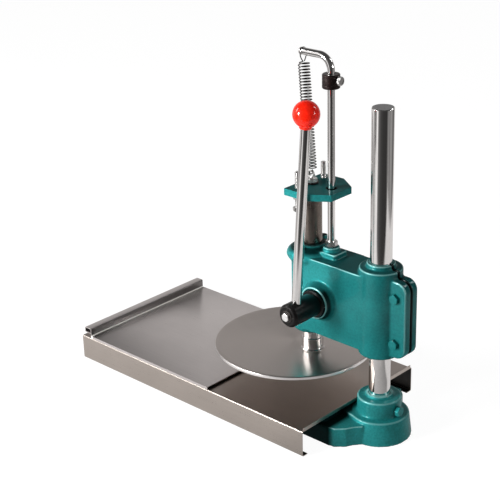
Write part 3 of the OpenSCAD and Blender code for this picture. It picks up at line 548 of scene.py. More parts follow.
GROUPS = {}
MATERIALS = {}
SOCKETS = {"VALUE": "NodeSocketFloat", "RGBA": "NodeSocketColor"}


def place_group(n, make, vector, **floats):
    """Puts a shared group in a tree and returns its outputs. make(nodes, vector, *floats) fills the group
    the first time, and says what it puts out, by name."""
    if make not in GROUPS:
        tree = bpy.data.node_groups.new(make.__name__.replace("_", " ").capitalize(), "ShaderNodeTree")
        tree.interface.new_socket("Vector", in_out="INPUT", socket_type="NodeSocketVector")
        for label in floats:
            tree.interface.new_socket(label.replace("_", " "), in_out="INPUT", socket_type="NodeSocketFloat")
        given = tree.nodes.new("NodeGroupInput").outputs[: 1 + len(floats)]
        results = make(Nodes(tree), *given)
        for label, socket in results.items():
            tree.interface.new_socket(label, in_out="OUTPUT", socket_type=SOCKETS[socket.type])
        out = tree.nodes.new("NodeGroupOutput")
        for label, socket in results.items():
            tree.links.new(socket, out.inputs[label])
        GROUPS[make] = tree
    return n.add("Group", node_tree=GROUPS[make], Vector=vector, **floats).outputs


# ---------------------------------------------------------------- materials


def start_material(name, **principled):
    """A new material: itself, its nodes, its Principled shader and its object coordinates."""
    material = bpy.data.materials.new(name)
    material.use_nodes = True
    n = Nodes(material.node_tree)
    shader = n.fill(n.tree.nodes["Principled BSDF"], **principled)
    return material, n, shader, n.add("TexCoord").outputs["Object"]


def enamel_material(name="casting_enamel", wear_and_painted_light=0.9):
    """Gloss enamel with a metallic sheen over a sand-cast skin, under painted light and shade. Its outer edges that
    face up or sideways are pale, partly worn paint and partly a painted highlight. Painted shade lies in the
    corners, on the head's upper faces, on its lower half, towards the column, on the boss's sides, round the ram,
    in the slit, round the guide rod's hole and beside the tray. Its coat is thinner on the head's upper faces, on
    its lower half and beside the tray."""
    base = np.array(bpy.context.scene.dough_press_colours.enamel)
    # black is the colour of painted shade; pale is partly worn paint and partly a painted highlight on outer edges
    black, pale = base * 0, (0.34, 0.7, 0.68)
    material, n, shader, at = start_material(
        name, Roughness=0.42, Metallic=0.3, Coat_Roughness=0.06, Specular_IOR_Level=0.0
    )
    skin = place_group(n, cast_skin, at)
    sources = n.places(at)
    points = {
        "from column": (COLUMN[0] * MM, 0, 0.036), "from hole": (ROD[0] * MM, 0, 0.3555), "from ram": (0, 0, 0.262)
    }
    sources.update({label: n.vector("DISTANCE", at, point) for label, point in points.items()})
    on_head = ("z", 0.1, 0.13)
    # the base beside and under the tray's end, where shade is painted
    tray_shade = n.within(sources, ("x", 0.104, 0.096), ("from column", 0.037, 0.04), ("z", 0.043, 0.041))
    # foot: the head's lower half, where shade is painted
    foot = n.within(sources, ("z", 0.2, 0.15), on_head)
    # the head's upper faces, where shade is painted
    shaded_tops = n.within(sources, ("nz", 0.75, 0.98), on_head)
    # slit: the walls of the slit between the ears, where shade is painted
    slit = (("x", 0.137, 0.14), ("y", -0.0036, -0.0026), ("y", 0.0036, 0.0026), on_head)
    # Mask, share and colour of each layer, in the order in which they are laid on
    layers = (
        # painted shade on the head, deeper towards the column
        (n.within(sources, ("x", 0.04, 0.12), on_head), 0.36, black),
        # painted shade on the head's lower half, deeper towards the ram
        (n.times(foot, n.ramp(sources["x"], 0.12, 0.04)), 0.3, black),
        # painted shade on the boss's sides that face away from the key lamp
        (n.within(sources, ("nx", 0.1, 0.6), ("y", -0.036, -0.039), on_head), 0.9, black),
        # pale outer edges that face up or sideways: partly worn paint, partly a painted highlight
        (n.within(sources, ("curve", 0.515, 0.55), ("nz", -0.3, 0.3)), wear_and_painted_light, pale),
        # painted shade in the concave corners and creases
        (n.within(sources, ("curve", 0.488, 0.44)), wear_and_painted_light, base * 0.12),
        # painted shade on the head's upper faces
        (shaded_tops, 0.85, base * 0.3 + 0.004),
        # painted shade round the guide rod's hole in the top plate
        (n.within(sources, ("from hole", 0.0088, 0.0078)), 0.95, black),
        # painted shade on the top of the head round the ram, under the lever
        (n.within(sources, ("from ram", 0.036, 0.03), ("nz", 0.2, 0.6), ("z", 0.24, 0.25)), 0.9, base * 0.06),
        # painted shade in the slit between the ears
        (n.within(sources, *slit), 0.95, black),
        # painted shade on the base beside and under the tray's end
        (tray_shade, 0.96, base * 0.04),
    )
    colour = n.tones(skin["Tone"], base, 0.7, 1.2)
    for mask, share, other in layers:
        colour = n.mix(n.times(mask, share), colour, other)
    # the coat is also thinner where shade is painted beside the tray, low on the head and on its tops
    dull = n.maths("MAXIMUM", n.maths("MAXIMUM", tray_shade, foot), shaded_tops)
    n.fill(shader, Base_Color=colour, Coat_Weight=n.ramp(dull, 0, 1, 0.35, 0.06))
    n.fill(shader, Normal=n.bump(skin["Height"], 0.5, 0.0006))
    return material


def sheet_material(name, colour, roughness=0.3, grip=False):
    """Brushed stainless sheet of one tone. On the board, painted shade and a painted reflection darken the grip's
    inner face and the board in front of it, and its foot is a painted highlight: a pale line that glows a little."""
    base = np.array(colour)
    material, n, shader, at = start_material(name, Metallic=1.0)
    brush = place_group(n, brushed_lines, at)
    smudge = place_group(n, smudges, at, Amount=0.05)
    lines = n.ramp(brush["Lines"], 0.25, 0.75)
    colour = n.tones(n.maths("ADD", n.times(lines, 0.45), n.times(brush["Clouds"], 0.55)), base, 0.88, 1.1)
    if grip:
        sources = n.places(at)
        # face and shade: painted shade and painted reflection at the grip; foot: a painted highlight along the
        # grip's foot
        face = n.within(sources, ("nx", 0.3, 0.7), ("x", -0.355, -0.358))
        shade = n.within(sources, ("x", -0.35, -0.361), ("nz", 0.5, 0.9), ("z", 0.047, 0.046))
        foot = n.within(sources, ("x", -0.36, -0.3606), ("x", -0.3627, -0.3623), ("z", 0.0468, 0.0463))
        for mask, other in (
            (n.times(face, 0.8), base * 0.1), (n.times(shade, 0.7), base * 0.2), (foot, (0.9, 0.88, 0.86))
        ):
            colour = n.mix(mask, colour, other)
        # the painted highlight at the grip's foot glows, though it is no lamp
        glow = n.mix(foot, (0, 0, 0), (1, 0.96, 0.9))
        n.fill(shader, Metallic=n.ramp(foot, 0, 1, 1, 0), Emission_Color=glow, Emission_Strength=0.14)
    rough = n.maths("ADD", n.ramp(lines, 0, 1, roughness - 0.04, roughness + 0.05), smudge["Shift"])
    n.fill(shader, Base_Color=colour, Roughness=rough, Normal=n.bump(brush["Lines"], 0.4, 0.00002))
    return material


def plate_material():
    """Turned and polished plate, with rings about the plate's own centre and a bright rim."""
    base = np.array(bpy.context.scene.dough_press_colours.plate)
    material, n, shader, at = start_material(
        "plate_turned", Metallic=1.0, Anisotropic=0.5, Anisotropic_Rotation=0.25
    )
    centred = n.add("Mapping", vector_type="POINT", Vector=at, Location=(-PLATE[0] * MM, 0, 0)).outputs["Vector"]
    rings = place_group(n, turned_rings, centred)["Rings"]
    smudge = place_group(n, smudges, at, Amount=0.05)
    value = n.ramp(rings, 0.3, 0.7)
    rim = n.within(n.places(at), ("nz", 0.7, 0.3), ("nz", -0.7, -0.3))
    colour = n.mix(rim, n.tones(value, base, 0.96, 1.04), (0.97, 0.95, 0.94))
    rough = n.maths("ADD", n.ramp(value, 0, 1, 0.28, 0.31), smudge["Shift"])
    n.fill(shader, Base_Color=colour, Roughness=rough, Normal=n.bump(rings, 0.06, 0.00002))
    return material


def metal_material(
    name, colour, roughness, marks=0.06, grain=0.0, metallic=1.0, spread=0.08, wear_and_painted_light=0.0, bright_below=None
):
    """Plain metal with handling marks and, where grain is over 0, a fine blasted or plated texture. Where
    wear_and_painted_light is over 0, its outer edges turn pale in specks, partly rubbed and partly a painted
    highlight. Under bright_below, in metres, it is bare."""
    base = np.array(colour)
    material, n, shader, at = start_material(name, Metallic=metallic)
    smudge = place_group(n, smudges, at, Amount=marks)
    colour = n.tones(n.ramp(n.noise(at, 160, 3.0), 0.3, 0.7), base, 1 - spread, 1 + spread)
    if wear_and_painted_light:
        # pale specks on outer edges: partly wear, partly a painted highlight
        edge = n.within(n.places(at), ("curve", 0.52, 0.58))
        specks = n.ramp(n.noise(at, 900), 0.4, 0.6, 0.2, wear_and_painted_light)
        colour = n.mix(n.times(edge, specks), colour, (0.55, 0.54, 0.52))
    if bright_below:
        bare = n.within(n.places(at), ("z", bright_below, bright_below - 0.0005))
        colour = n.mix(bare, colour, (0.8, 0.79, 0.78))
    n.fill(shader, Base_Color=colour, Roughness=n.maths("ADD", smudge["Shift"], roughness))
    if grain:
        n.fill(shader, Normal=n.bump(n.noise(at, 2600), 0.5, grain))
    return material


def knob_material():
    """Moulded gloss plastic, a little uneven in tone, with a faint painted red glow that lightens its shaded side.
    """
    base = np.array(bpy.context.scene.dough_press_colours.knob)
    material, n, shader, at = start_material(
        "knob_plastic", Roughness=0.6, Specular_IOR_Level=0.0, Coat_Weight=0.8, Coat_Roughness=0.1,
        # the emission is a painted glow, though the knob is no lamp
        Subsurface_Weight=0.1, Subsurface_Scale=0.01, Emission_Color=(1.0, 0.012, 0.006), Emission_Strength=0.26,
    )
    n.fill(shader, Base_Color=n.tones(n.ramp(n.noise(at, 60), 0.3, 0.7), base, 0.95, 1.04))
    return material


# Metals by kind: the material's name, its colour or the setting that holds it, its roughness, and what else differs
METALS = {
    "chrome": ("hard_chrome", "chrome", 0.07, dict(marks=0.04, spread=0.02)),
    "ram": ("oiled_steel", "ram", 0.24, dict(marks=0.1, grain=0.00001, bright_below=0.134)),
    "zinc": ("bright_zinc", "zinc", 0.24, dict(marks=0.1, grain=0.00002)),
    "new_zinc": ("new_zinc", (0.92, 0.92, 0.91), 0.36, dict(marks=0.1, grain=0.00003)),
    # near-black zinc; on the anchor washer it is painted shadow under the anchor nut
    "stain_and_shade": ("stained_shaded_zinc", (0.05, 0.045, 0.043), 0.4, dict(marks=0.1, metallic=0.8, spread=0.2)),
    "wire": ("spring_wire", "wire", 0.2, dict(marks=0.05)),
    "black": ("black_oxide", "black", 0.3, dict(marks=0.12, grain=0.00002, metallic=0.6, spread=0.2, wear_and_painted_light=0.9)),
    "collar": ("browned_steel", "collar", 0.32, dict(marks=0.1, grain=0.00002, metallic=0.8, spread=0.15)),
    # tray_inside: near-black, painted shade inside the tray
    "tray_inside": ("tray_inside_steel", (0.035, 0.033, 0.03), 0.45, dict(marks=0.08, metallic=0.6, spread=0.2)),
    "bronze": ("plain_bronze", (0.5, 0.34, 0.16), 0.3, {}),
    "sawn": ("sawn_steel", (0.38, 0.38, 0.38), 0.5, dict(marks=0.08, grain=0.00005)),
}


def make_surface(kind):
    """The finish of that name."""
    colours = bpy.context.scene.dough_press_colours
    if kind in METALS:
        name, colour, roughness, others = METALS[kind]
        if isinstance(colour, str):
            colour = getattr(colours, colour)
        return metal_material(name, colour, roughness, **others)
    return {
        "enamel": enamel_material,
        "plain_enamel": lambda: enamel_material("plain_enamel", 0),
        "board": lambda: sheet_material("board_steel", colours.board, grip=True),
        "tray_top": lambda: sheet_material("tray_top_steel", colours.tray_top),
        "tray_side": lambda: sheet_material("tray_side_steel", colours.tray_side, 0.28),
        "plate": plate_material,
        "knob": knob_material,
    }[kind]()


def surface(kind):
    """The finish of that name, made once."""
    if kind not in MATERIALS:
        MATERIALS[kind] = make_surface(kind)
    return MATERIALS[kind]


# ---------------------------------------------------------------- what a user can change


def pick_colour(name, description, default):
    """A colour that a user can pick."""
    return FloatVectorProperty(name=name, description=description, subtype="COLOR", default=default, min=0, max=1)


def pick_number(name, description, default, **others):
    """A number that a user can set."""
    return FloatProperty(name=name, description=description, default=default, **others)


def pick_distance(name, description, default):
    """A distance that a user can set."""
    return pick_number(name, description, default, subtype="DISTANCE", unit="LENGTH")


def pick_angle(name, description, default):
    """An angle that a user can set."""
    return pick_number(name, description, math.radians(default), subtype="ANGLE")


class DoughPressColours(bpy.types.PropertyGroup):
    """Colours of the press's finishes."""

    enamel: pick_colour("Enamel", "Blue-green enamel of the castings", (0.018, 0.235, 0.235))
    board: pick_colour("Sliding board", "Steel of the sliding board", (0.8, 0.755, 0.74))
    tray_top: pick_colour("Tray top", "Steel of the tray's top face", (0.5, 0.44, 0.4))
    tray_side: pick_colour("Tray sides", "Steel of the tray's sides", (0.535, 0.482, 0.439))
    plate: pick_colour("Press plate", "Turned steel of the press plate", (0.6, 0.55, 0.52))
    chrome: pick_colour("Chrome", "Column, guide rod and lever", (0.86, 0.85, 0.84))
    ram: pick_colour("Ram", "Oiled steel of the ram", (0.2, 0.17, 0.15))
    zinc: pick_colour("Zinc", "Plated nuts, bolts and eye", (0.62, 0.61, 0.6))
    wire: pick_colour("Spring wire", "Oiled spring steel", (0.11, 0.105, 0.1))
    black: pick_colour("Black oxide", "Lever hub", (0.007, 0.0065, 0.0065))
    collar: pick_colour("Stop collar", "Browned stop collar", (0.03, 0.021, 0.02))
    knob: pick_colour("Knob", "Red ball knob", (0.7, 0.014, 0.003))


class DoughPressSizes(bpy.types.PropertyGroup):
    """Sizes of the details that the frame leaves plain, in millimetres."""

    cast_cell: pick_number("Casting cell", "Size of the cubes that a casting is rebuilt in", 1.3, min=0.8, max=4)
    cast_rounds: IntProperty(
        name="Casting softness", description="How often a casting's surface is relaxed", default=4, min=0, max=30
    )
    thread_pitch: pick_number("Thread pitch", "Pitch of the depth stops' thread", 1.25, min=0.8, max=3)
    wire: pick_number("Spring wire", "Diameter of the return spring's wire", 1.6, min=0.8, max=2.4)
    turns: IntProperty(
        name="Spring turns", description="Number of turns in the return spring", default=36, min=10, max=60
    )


class DoughPressStage(bpy.types.PropertyGroup):
    """The camera, the lamps and the floor."""

    azimuth: pick_angle("Azimuth", "Where the camera stands round the press", 43.736)
    elevation: pick_angle("Elevation", "How far the camera looks down", 22.744)
    roll: pick_angle("Roll", "Tilt of the camera about its own axis", -1.597)
    distance: pick_distance("Distance", "From the camera to its target", 2.004678)
    focal: pick_number("Focal length", "Focal length of the lens, in millimetres", 95.318, min=10, max=400)
    target: FloatVectorProperty(
        name="Target", description="Point that the camera looks at", subtype="XYZ", default=(-0.1241, 0.0, 0.2188)
    )
    key: pick_number("Key lamp", "Strength of the soft box on the left", 84.0, min=0)
    fill: pick_number("Fill lamp", "Strength of the soft box on the right", 5.0, min=0)
    sky: pick_number("Sky", "Strength of the light from all around", 0.12, min=0)
    paper: pick_distance("Paper", "How far the white floor reaches towards the camera, as metal sees it", 0.6)


# ---------------------------------------------------------------- pieces


class DOUGHPRESS_OT_castings(bpy.types.Operator):
    """The head, the base and the top plate, in gloss enamel"""

    bl_idname = "dough_press.castings"
    bl_label = "Castings"

    def execute(self, context):
        sizes = context.scene.dough_press_sizes
        # Centre, direction, radius, reach, low and high of each bore that something turns or slides in
        bores = (
            (RAM, UP, 15.25, 1.2, 125, 275),
            (COLUMN, UP, 15.75, 1.2, 125, 275),
            (SHAFT, NEAR, 21.2, 1.0, 42.5, 47),
            (ROD, UP, 5.4, 0.8, 245, 272),
            (SHAFT, NEAR, 31.5, 1.2, -14.8, 14.8),
        )
        cast_copy("head_casting", "head_enamel", "head", sizes.cast_cell, sizes.cast_rounds, bores, (135.0, 2.0))
        base_bores = ((COLUMN, UP, 15.75, 1.2, 8.5, 70),)
        cast_copy("base_casting", "base_enamel", "base", sizes.cast_cell, sizes.cast_rounds - 1, base_bores)
        bevelled_copy("top_plate", "top_plate_enamel", "ram", "plain_enamel", 0.8, 3)
        return {"FINISHED"}


def tray_inside(normals, centres):
    """The inner faces of the tray's sides, the underside of its top and the upper faces of its lips: painted shade.
    """
    up, z = normals[:, 2], centres[:, 2]
    inward = (normals[:, 1] * centres[:, 1] < -0.08) & (z < SHEET_LOW)
    under = (up < -0.9) & (z > 0.03) & (z < SHEET_LOW)
    lips = (up > 0.9) & (z < 0.01)
    return inward | under | lips


def tray_top(normals, centres):
    """The upper face of the tray."""
    up, z = normals[:, 2], centres[:, 2]
    return (up > 0.9) & (z > SHEET_LOW) & (z < SHEET_HIGH)


class DOUGHPRESS_OT_sheet_metal(bpy.types.Operator):
    """The tray and the sliding board, in brushed stainless sheet"""

    bl_idname = "dough_press.sheet_metal"
    bl_label = "Tray and board"

    def execute(self, context):
        tray = bevelled_copy("tray", "tray_sheet", "base", "tray_side", 0.14)
        # the tray's inner faces take painted shade
        paint_faces(tray, tray_top=tray_top, tray_inside=tray_inside)
        bevelled_copy("slide_board", "board_sheet", "board", "board", 0.3)
        return {"FINISHED"}


class DOUGHPRESS_OT_press_plate(bpy.types.Operator):
    """The turned press plate, its socket and the socket's screw"""

    bl_idname = "dough_press.press_plate"
    bl_label = "Press plate"

    def execute(self, context):
        low, high, edge = PLATE_LOW, PLATE_TOP, 0.8
        rim = [(PLATE_R - edge, low), (PLATE_R, low + edge), (PLATE_R, high - edge), (PLATE_R - edge, high)]
        rim = soften([(0, low), *rim, (0, high)], 0.5, 4)
        face = [(r, low) for r in np.linspace(0, PLATE_R - 1, 24)[1:-1]]
        profile = np.vstack([rim[:1], face, rim[1:-1], np.add(face[::-1], (0, high - low)), rim[-1:]])
        piece("plate_turned", [turned(profile, PLATE, UP, 192)], "ram", "plate", ("press_plate",), 40)
        bore, foot, top = 11.1, 96.02, SOCKET_TOP
        socket = [
            (bore, foot), (17.6, foot), (17.4, 97.2), (16.1, 98.6), (16, 100), (16, top - 1), (15.2, top),
            (bore, top), (bore, foot),
        ]
        piece("socket_chrome", [turned(soften(socket, 0.5, 4), RAM, UP)], "ram", "chrome", ("plate_socket",), 40)
        screw = soften([(0, 11.2), (3, 11.2), (3, 17.2), (2.6, 18), (1.3, 18), (1.3, 16.6), (0, 16.6)], 0.3, 3)
        parts = [turned(screw, RAM + 102 * UP, BACK, 32)]
        piece("socket_screw_zinc", parts, "ram", "zinc", ("socket_screw",), 40)
        return {"FINISHED"}


class DOUGHPRESS_OT_rods(bpy.types.Operator):
    """The column, the guide rod and the lever, in hard chrome, and the oiled ram"""

    bl_idname = "dough_press.rods"
    bl_label = "Rods"

    def execute(self, context):
        foot, top = 8.3, COLUMN_TOP
        ends = soften([(0, foot), (COLUMN_R, foot), (COLUMN_R, top - 1), (COLUMN_R - 0.9, top)], 0.3, 4)
        side = [(COLUMN_R, height) for height in np.linspace(20, 480, 24)]
        profile = np.vstack([ends[:5], side, ends[5:], [(0, top)]])
        column = piece("column_chrome", [turned(profile, COLUMN, UP, 128)], "base", "chrome", ("column",), 30)
        end = (COLUMN_TOP - 0.7) * MM
        paint_faces(column, sawn=lambda normals, centres: (normals[:, 2] > 0.9) & (centres[:, 2] > end))
        rod = [(0, 6.65), (6.6, 6.65), (7, 7.05), (7, 40), (7, 120), (7, 200), (7, 270), (7, 299.7), (0, 299.7)]
        piece("lever_chrome", [turned(rod, LEVER_START, LEVER, 64)], "lever", "chrome", ("lever_rod",), 30)
        upright = ROD + np.linspace(244.7, 515, 12)[:, None] * UP
        elbow_r, a = 20, np.linspace(0, np.pi / 2, 24)[:, None]
        elbow = ROD + (ARM_Z - elbow_r) * UP + elbow_r * ((np.cos(a) - 1) * BACK + np.sin(a) * UP)
        x = [14, 8, 0, -8, -11.6, -12.1, -12.1, -12.4, -13.4, -14.4, -14.7, -14.7, -15.2, -17.2, -17.8, -18.0]
        arm = np.array(x)[:, None] * BACK + ARM_Z * UP
        groove = [5.2, 4.3, 4.1, 4.05, 4.1, 4.3, 5.2]
        radius = [ROD_R] * (len(upright) + len(elbow) + 5) + groove + [ROD_R, ROD_R, 4.9, 4.3]
        path = np.vstack([upright, elbow, arm])
        bar = swept(path, NEAR, radius, 48, steady_tangents(path))
        piece("guide_rod_chrome", [bar], "head", "chrome", ("guide_rod",), 35)
        finish_node("ram", "ram", 25)
        return {"FINISHED"}


class DOUGHPRESS_OT_lever(bpy.types.Operator):
    """The lever's hub, its bolt and the ball knob"""

    bl_idname = "dough_press.lever"
    bl_label = "Lever hub and knob"

    def execute(self, context):
        hub = [
            (10.05, 42.3), (20.3, 42.3), (20.3, 47.2), (19.5, 48), (17.2, 48.2), (17, 48.6), (17, 60), (17, 97.5),
            (13.6, 101), (3.8, 101), (3.8, 70.3), (10.05, 70.3), (10.05, 42.3),
        ]
        body = turned(soften(hub, 0.6, 4), SHAFT, NEAR, 128)
        piece("hub_black", [body], "lever", "black", ("lever_hub",), 30)
        bolt = [
            hexagonal(11, 4, SHAFT + NEAR * 102, NEAR, turn=0.35, cut_low=False),
            turned([(0, 58), (2.7, 58), (3.5, 59), (3.5, 102), (0, 102)], SHAFT, NEAR, 32),
        ]
        piece("hub_bolt_zinc", bolt, "lever", "new_zinc", ("hub_bolt",), 28)
        bore, low, high = 3.8, 101.02, 102
        washer = [(bore, low), (8.8, low), (9, 101.3), (9, 101.7), (8.8, high), (bore, high), (bore, low)]
        parts = [turned(soften(washer, 0.1, 3), SHAFT, NEAR, 64)]
        piece("hub_washer_zinc", parts, "lever", "stain_and_shade", ("hub_washer",), 30)
        ball_r, ball_at, neck_r, bore = 18.5, 293.6, 9.0, 7.06
        a = np.linspace(-math.acos(neck_r / ball_r), np.pi / 2, 48)
        ball = np.column_stack([ball_r * np.cos(a), ball_at + ball_r * np.sin(a)])
        ball[-1, 0] = 0
        neck = [
            (0, 299.9), (bore, 299.9), (bore, 290), (bore, 274.3), (8.2, 274.3), (8.7, 274.9), (8.8, 276.2),
            (8.9, 277.2),
        ]
        knob = turned(np.vstack([neck, ball]), LEVER_START, LEVER, 96)
        piece("knob_red", [knob], "lever", "knob", ("ball_knob",), 50)
        return {"FINISHED"}


class DOUGHPRESS_OT_spring(bpy.types.Operator):
    """The return spring, hooked on the guide rod's arm and on the eye in the ram"""

    bl_idname = "dough_press.spring"
    bl_label = "Return spring"

    def execute(self, context):
        sizes = context.scene.dough_press_sizes
        steps_a_turn, wire_r = 32, sizes.wire / 2
        top, low = np.array([HOOK_X, 0, ARM_Z]), EYE_Z * UP
        span = np.linalg.norm(top - low)
        coil_r, coil_length, low_r = 8.5 - wire_r, 153.0, 3.4
        hook_r = 4.05 + wire_r + 0.35
        start = -(span - coil_length) * 0.7
        i = np.arange(sizes.turns * steps_a_turn + 1)
        a = 2 * np.pi * i / steps_a_turn - np.pi / 2
        coil = np.column_stack([coil_r * np.cos(a), coil_r * np.sin(a), start - coil_length * i / i[-1]])
        tail = [(0, 1.2, start + 1.5), (0, 4.2, start + 5.5), (0, 6.2, -6)]
        leg = [(0, -6.2, -6), (0, -4.4, start + 5.5), (0, -1.6, start + 1.9)]
        arc = np.radians(np.linspace(172, 8, 28))
        loop = np.column_stack([0 * arc, -(hook_r + 1.2) * np.cos(arc), hook_r * np.sin(arc)])
        upper = soften(np.vstack([tail, loop, leg]), 2.0, 4)
        arc = np.radians(np.linspace(0, 215, 30))
        lower = np.column_stack([0 * arc, -low_r * np.cos(arc), -span + low_r * (1 - np.sin(arc))])
        lead_in = bend(upper[-1], upper[-1] + [0, 1.2, -1.2], coil[0] + [-6, 1, 1], coil[0])
        lead_out = bend(coil[-1], coil[-1] + [4, 0, -1], lower[0] + [0, 0, 2], lower[0])
        t = np.linspace(0, 1, len(lead_in))[:, None]
        reference = np.vstack(
            [BACK + 0 * upper, (1 - t) * BACK + t * UP, UP + 0 * coil, (1 - t) * UP + t * BACK, BACK + 0 * lower]
        )
        grid, rows, columns = swept(np.vstack([upper, lead_in, coil, lead_out, lower]), reference, wire_r, 12)
        axis = unit(top - low)
        placed = grid @ np.stack([np.cross(-NEAR, axis), -NEAR, axis]) + top
        name = "return_spring_wire"
        spring = bpy.data.objects.new(name, make_mesh(name, [(placed, rows, columns)], 60))
        context.scene.collection.objects.link(spring)
        spring.data.materials.append(surface("wire"))
        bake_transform(spring)
        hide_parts("return_spring")
        eye_r, bar_r = 4.6, 1.5
        a, b = full_turn(64)[:, None], full_turn(24)
        ring = eye_r + bar_r * np.cos(b)
        eye = np.stack([ring * np.cos(a), bar_r * np.sin(b) + 0 * a, ring * np.sin(a)], -1) + low
        shank = threaded(5, 0.5, 1.5, 39.7, 324 * UP, UP)
        piece("spring_eye_zinc", [(eye, True, True), shank], "ram", "zinc", ("spring_anchor",), 40)
        return {"FINISHED"}


class DOUGHPRESS_OT_fasteners(bpy.types.Operator):
    """Nuts, washers, bolts, set screws and depth stops"""

    bl_idname = "dough_press.fasteners"
    bl_label = "Fasteners"

    def execute(self, context):
        pitch = context.scene.dough_press_sizes.thread_pitch
        sharp = 28
        nut = [hexagonal(16, 8, ROD + 268.5 * UP, UP, 5.3, 0.35)]
        piece("guide_rod_nut_zinc", nut, "head", "zinc", ("guide_rod_nut",), sharp)
        nut = [hexagonal(16, 5, RAM + 357.5 * UP, UP, 5.05, 0.6)]
        piece("anchor_nut_zinc", nut, "ram", "new_zinc", ("anchor_nut",), sharp)
        bore, low, high = 5.05, 355.52, 357.5
        washer = [(bore, low), (9.8, low), (10, 355.9), (10, 357.1), (9.8, high), (bore, high), (bore, low)]
        parts = [turned(soften(washer, 0.2, 3), RAM, UP, 64)]
        # the washer's near-black is painted shadow under the anchor nut
        piece("anchor_washer_zinc", parts, "ram", "stain_and_shade", ("anchor_washer",), 30)
        for name, side in (("near", -1), ("far", 1)):
            at = np.array([-1.5, 28.0 * side, 0])
            nut = [hexagonal(13, 6.5, at + 339 * UP, UP, 4.1, 0.3 * side)]
            piece(name + "_lock_nut_zinc", nut, "ram", "zinc", (name + "_lock_nut",), sharp)
            bolt = [
                hexagonal(13, 5.3, at + 321 * UP, UP, 0, 0.5 * side, cut_high=False),
                threaded(4, 0.55, pitch, 53.2, at + 326.3 * UP, UP),
            ]
            piece(name + "_stop_bolt_zinc", bolt, name + "_stop", "zinc", (name + "_stop_bolt",), sharp)
        flats, turn = 12.8, math.pi / 6
        barrel_r, ear_side, ear_middle = 31, 14, 8.1
        clamps = COLUMN + (math.sqrt(barrel_r**2 - ear_side**2) + ear_middle) * BACK
        for name, z in (("low", 158), ("high", 227)):
            at = clamps + z * UP
            bolt = [
                hexagonal(flats, 5.2, at + 14.1 * NEAR, NEAR, 0, turn, cut_low=False),
                turned([(0, -23.5), (3.2, -23.5), (4, -22.7), (4, 14.2), (0, 14.2)], at, NEAR, 32),
            ]
            piece(name + "_clamp_bolt_enamel", bolt, "head", "plain_enamel", (name + "_clamp_bolt",), sharp)
            nut = [hexagonal(flats, 6.4, at - 20.5 * NEAR, NEAR, 4.05, turn)]
            piece(name + "_clamp_nut_enamel", nut, "head", "plain_enamel", (name + "_clamp_nut",), sharp)
        at = COLUMN + 45 * UP
        screw = [
            hexagonal(13, 6, at + 33 * BACK, BACK, 0, 0.3, cut_low=False),
            turned([(0, 15.8), (4.2, 15.8), (5, 16.6), (5, 33.1), (0, 33.1)], at, BACK, 32),
        ]
        piece("base_set_screw_enamel", screw, "base", "plain_enamel", ("base_set_screw",), sharp)
        finishes = {
            "zinc": ["shaft_washer"] + [f"tray_{kind}_{i}" for kind in ("stud", "nut") for i in range(1, 5)],
            "ram": ["pinion_shaft", "pinion", "pinion_key", "hub_key"],
            "black": ["shaft_circlip"],
            "bronze": ["near_bush", "far_bush"],
        }
        for kind, names in finishes.items():
            for name in names:
                finish_node(name, kind, sharp)
        return {"FINISHED"}


class DOUGHPRESS_OT_stop_collar(bpy.types.Operator):
    """The grooved stop collar on the guide rod and its knurled thumb screw"""

    bl_idname = "dough_press.stop_collar"
    bl_label = "Stop collar"

    def execute(self, context):
        bore, edge, r, groove_r, low, high = 5.35, 11.6, 12.5, 12.1, 500, 520
        grooves = [
            (radius, height + rise)
            for height in (504.4, 514.6)
            for radius, rise in ((r, 0), (groove_r, 0.3), (groove_r, 0.7), (r, 1.0))
        ]
        outside = [(bore, low), (edge, low), (r, low + 0.9), *grooves, (r, high - 0.9), (edge, high), (bore, high)]
        collar = turned(soften([*outside, (bore, low)], 0.25, 3), ROD, UP, 96)
        piece("stop_collar_browned", [collar], "collar", "collar", ("stop_collar",), 40)
        centre = ROD + 512 * UP
        shank = turned([(0, 5.6), (2, 5.6), (2.5, 6.1), (2.5, 13.6), (0, 13.6)], centre, BACK, 32)
        # Share of the head's radius, height, and how much of the knurl is left
        rows = [
            (0, 13.5, 0), (0.86, 13.5, 0), (0.97, 14.1, 0.6), (1, 14.6, 1), (1, 17.4, 1),
            (0.97, 18.0, 0.6), (0.8, 18.5, 0), (0.62, 18.5, 0), (0.6, 17.9, 0), (0, 17.9, 0),
        ]
        share, height, keep = np.array(rows).T[..., None]
        knurl = 6.5 - 0.28 * (0.5 + 0.5 * np.cos(30 * full_turn(240)))
        head = about(share * (keep * knurl + (1 - keep) * 6.35), height, centre, BACK)
        piece("thumb_screw_zinc", [head, shank], "thumb", "zinc", ("thumb_screw",), 35)
        return {"FINISHED"}


# ---------------------------------------------------------------- stage

AIM = Vector((-0.05, 0, 0.2))
FLOOR_Z, FLOOR_HALF = -0.0006, 6
SOFT_BOX_REACH, GLINT_REACH = 2.2, 1.9
# Lamps that only bright metal sees: degrees round from the camera, degrees up, metres away, size, gain on the key
GLINTS = (
    ("left_strip", -100, 32, SOFT_BOX_REACH, (0.4, 0.9), 0.33),
    ("right_strip", 106, 38, SOFT_BOX_REACH, (0.3, 0.5), 0.33),
    ("key_box", -66, 20, SOFT_BOX_REACH, (0.9, 1.1), 0.34),
    ("left_glint", -66, 20, GLINT_REACH, (0.36, 0.36), 2.5),
    ("right_glint", 66, 20, GLINT_REACH, (0.26, 0.4), 0.6),
)
# The white paper as bright metal sees it, from its left edge to its right: (share of the way, grey).
# The greys are painted light and shade on the paper.
PAPER = ((0.05, 0.4), (0.16, 0.6), (0.25, 0.8), (0.35, 0.68), (0.5, 0.62), (0.92, 0.72))


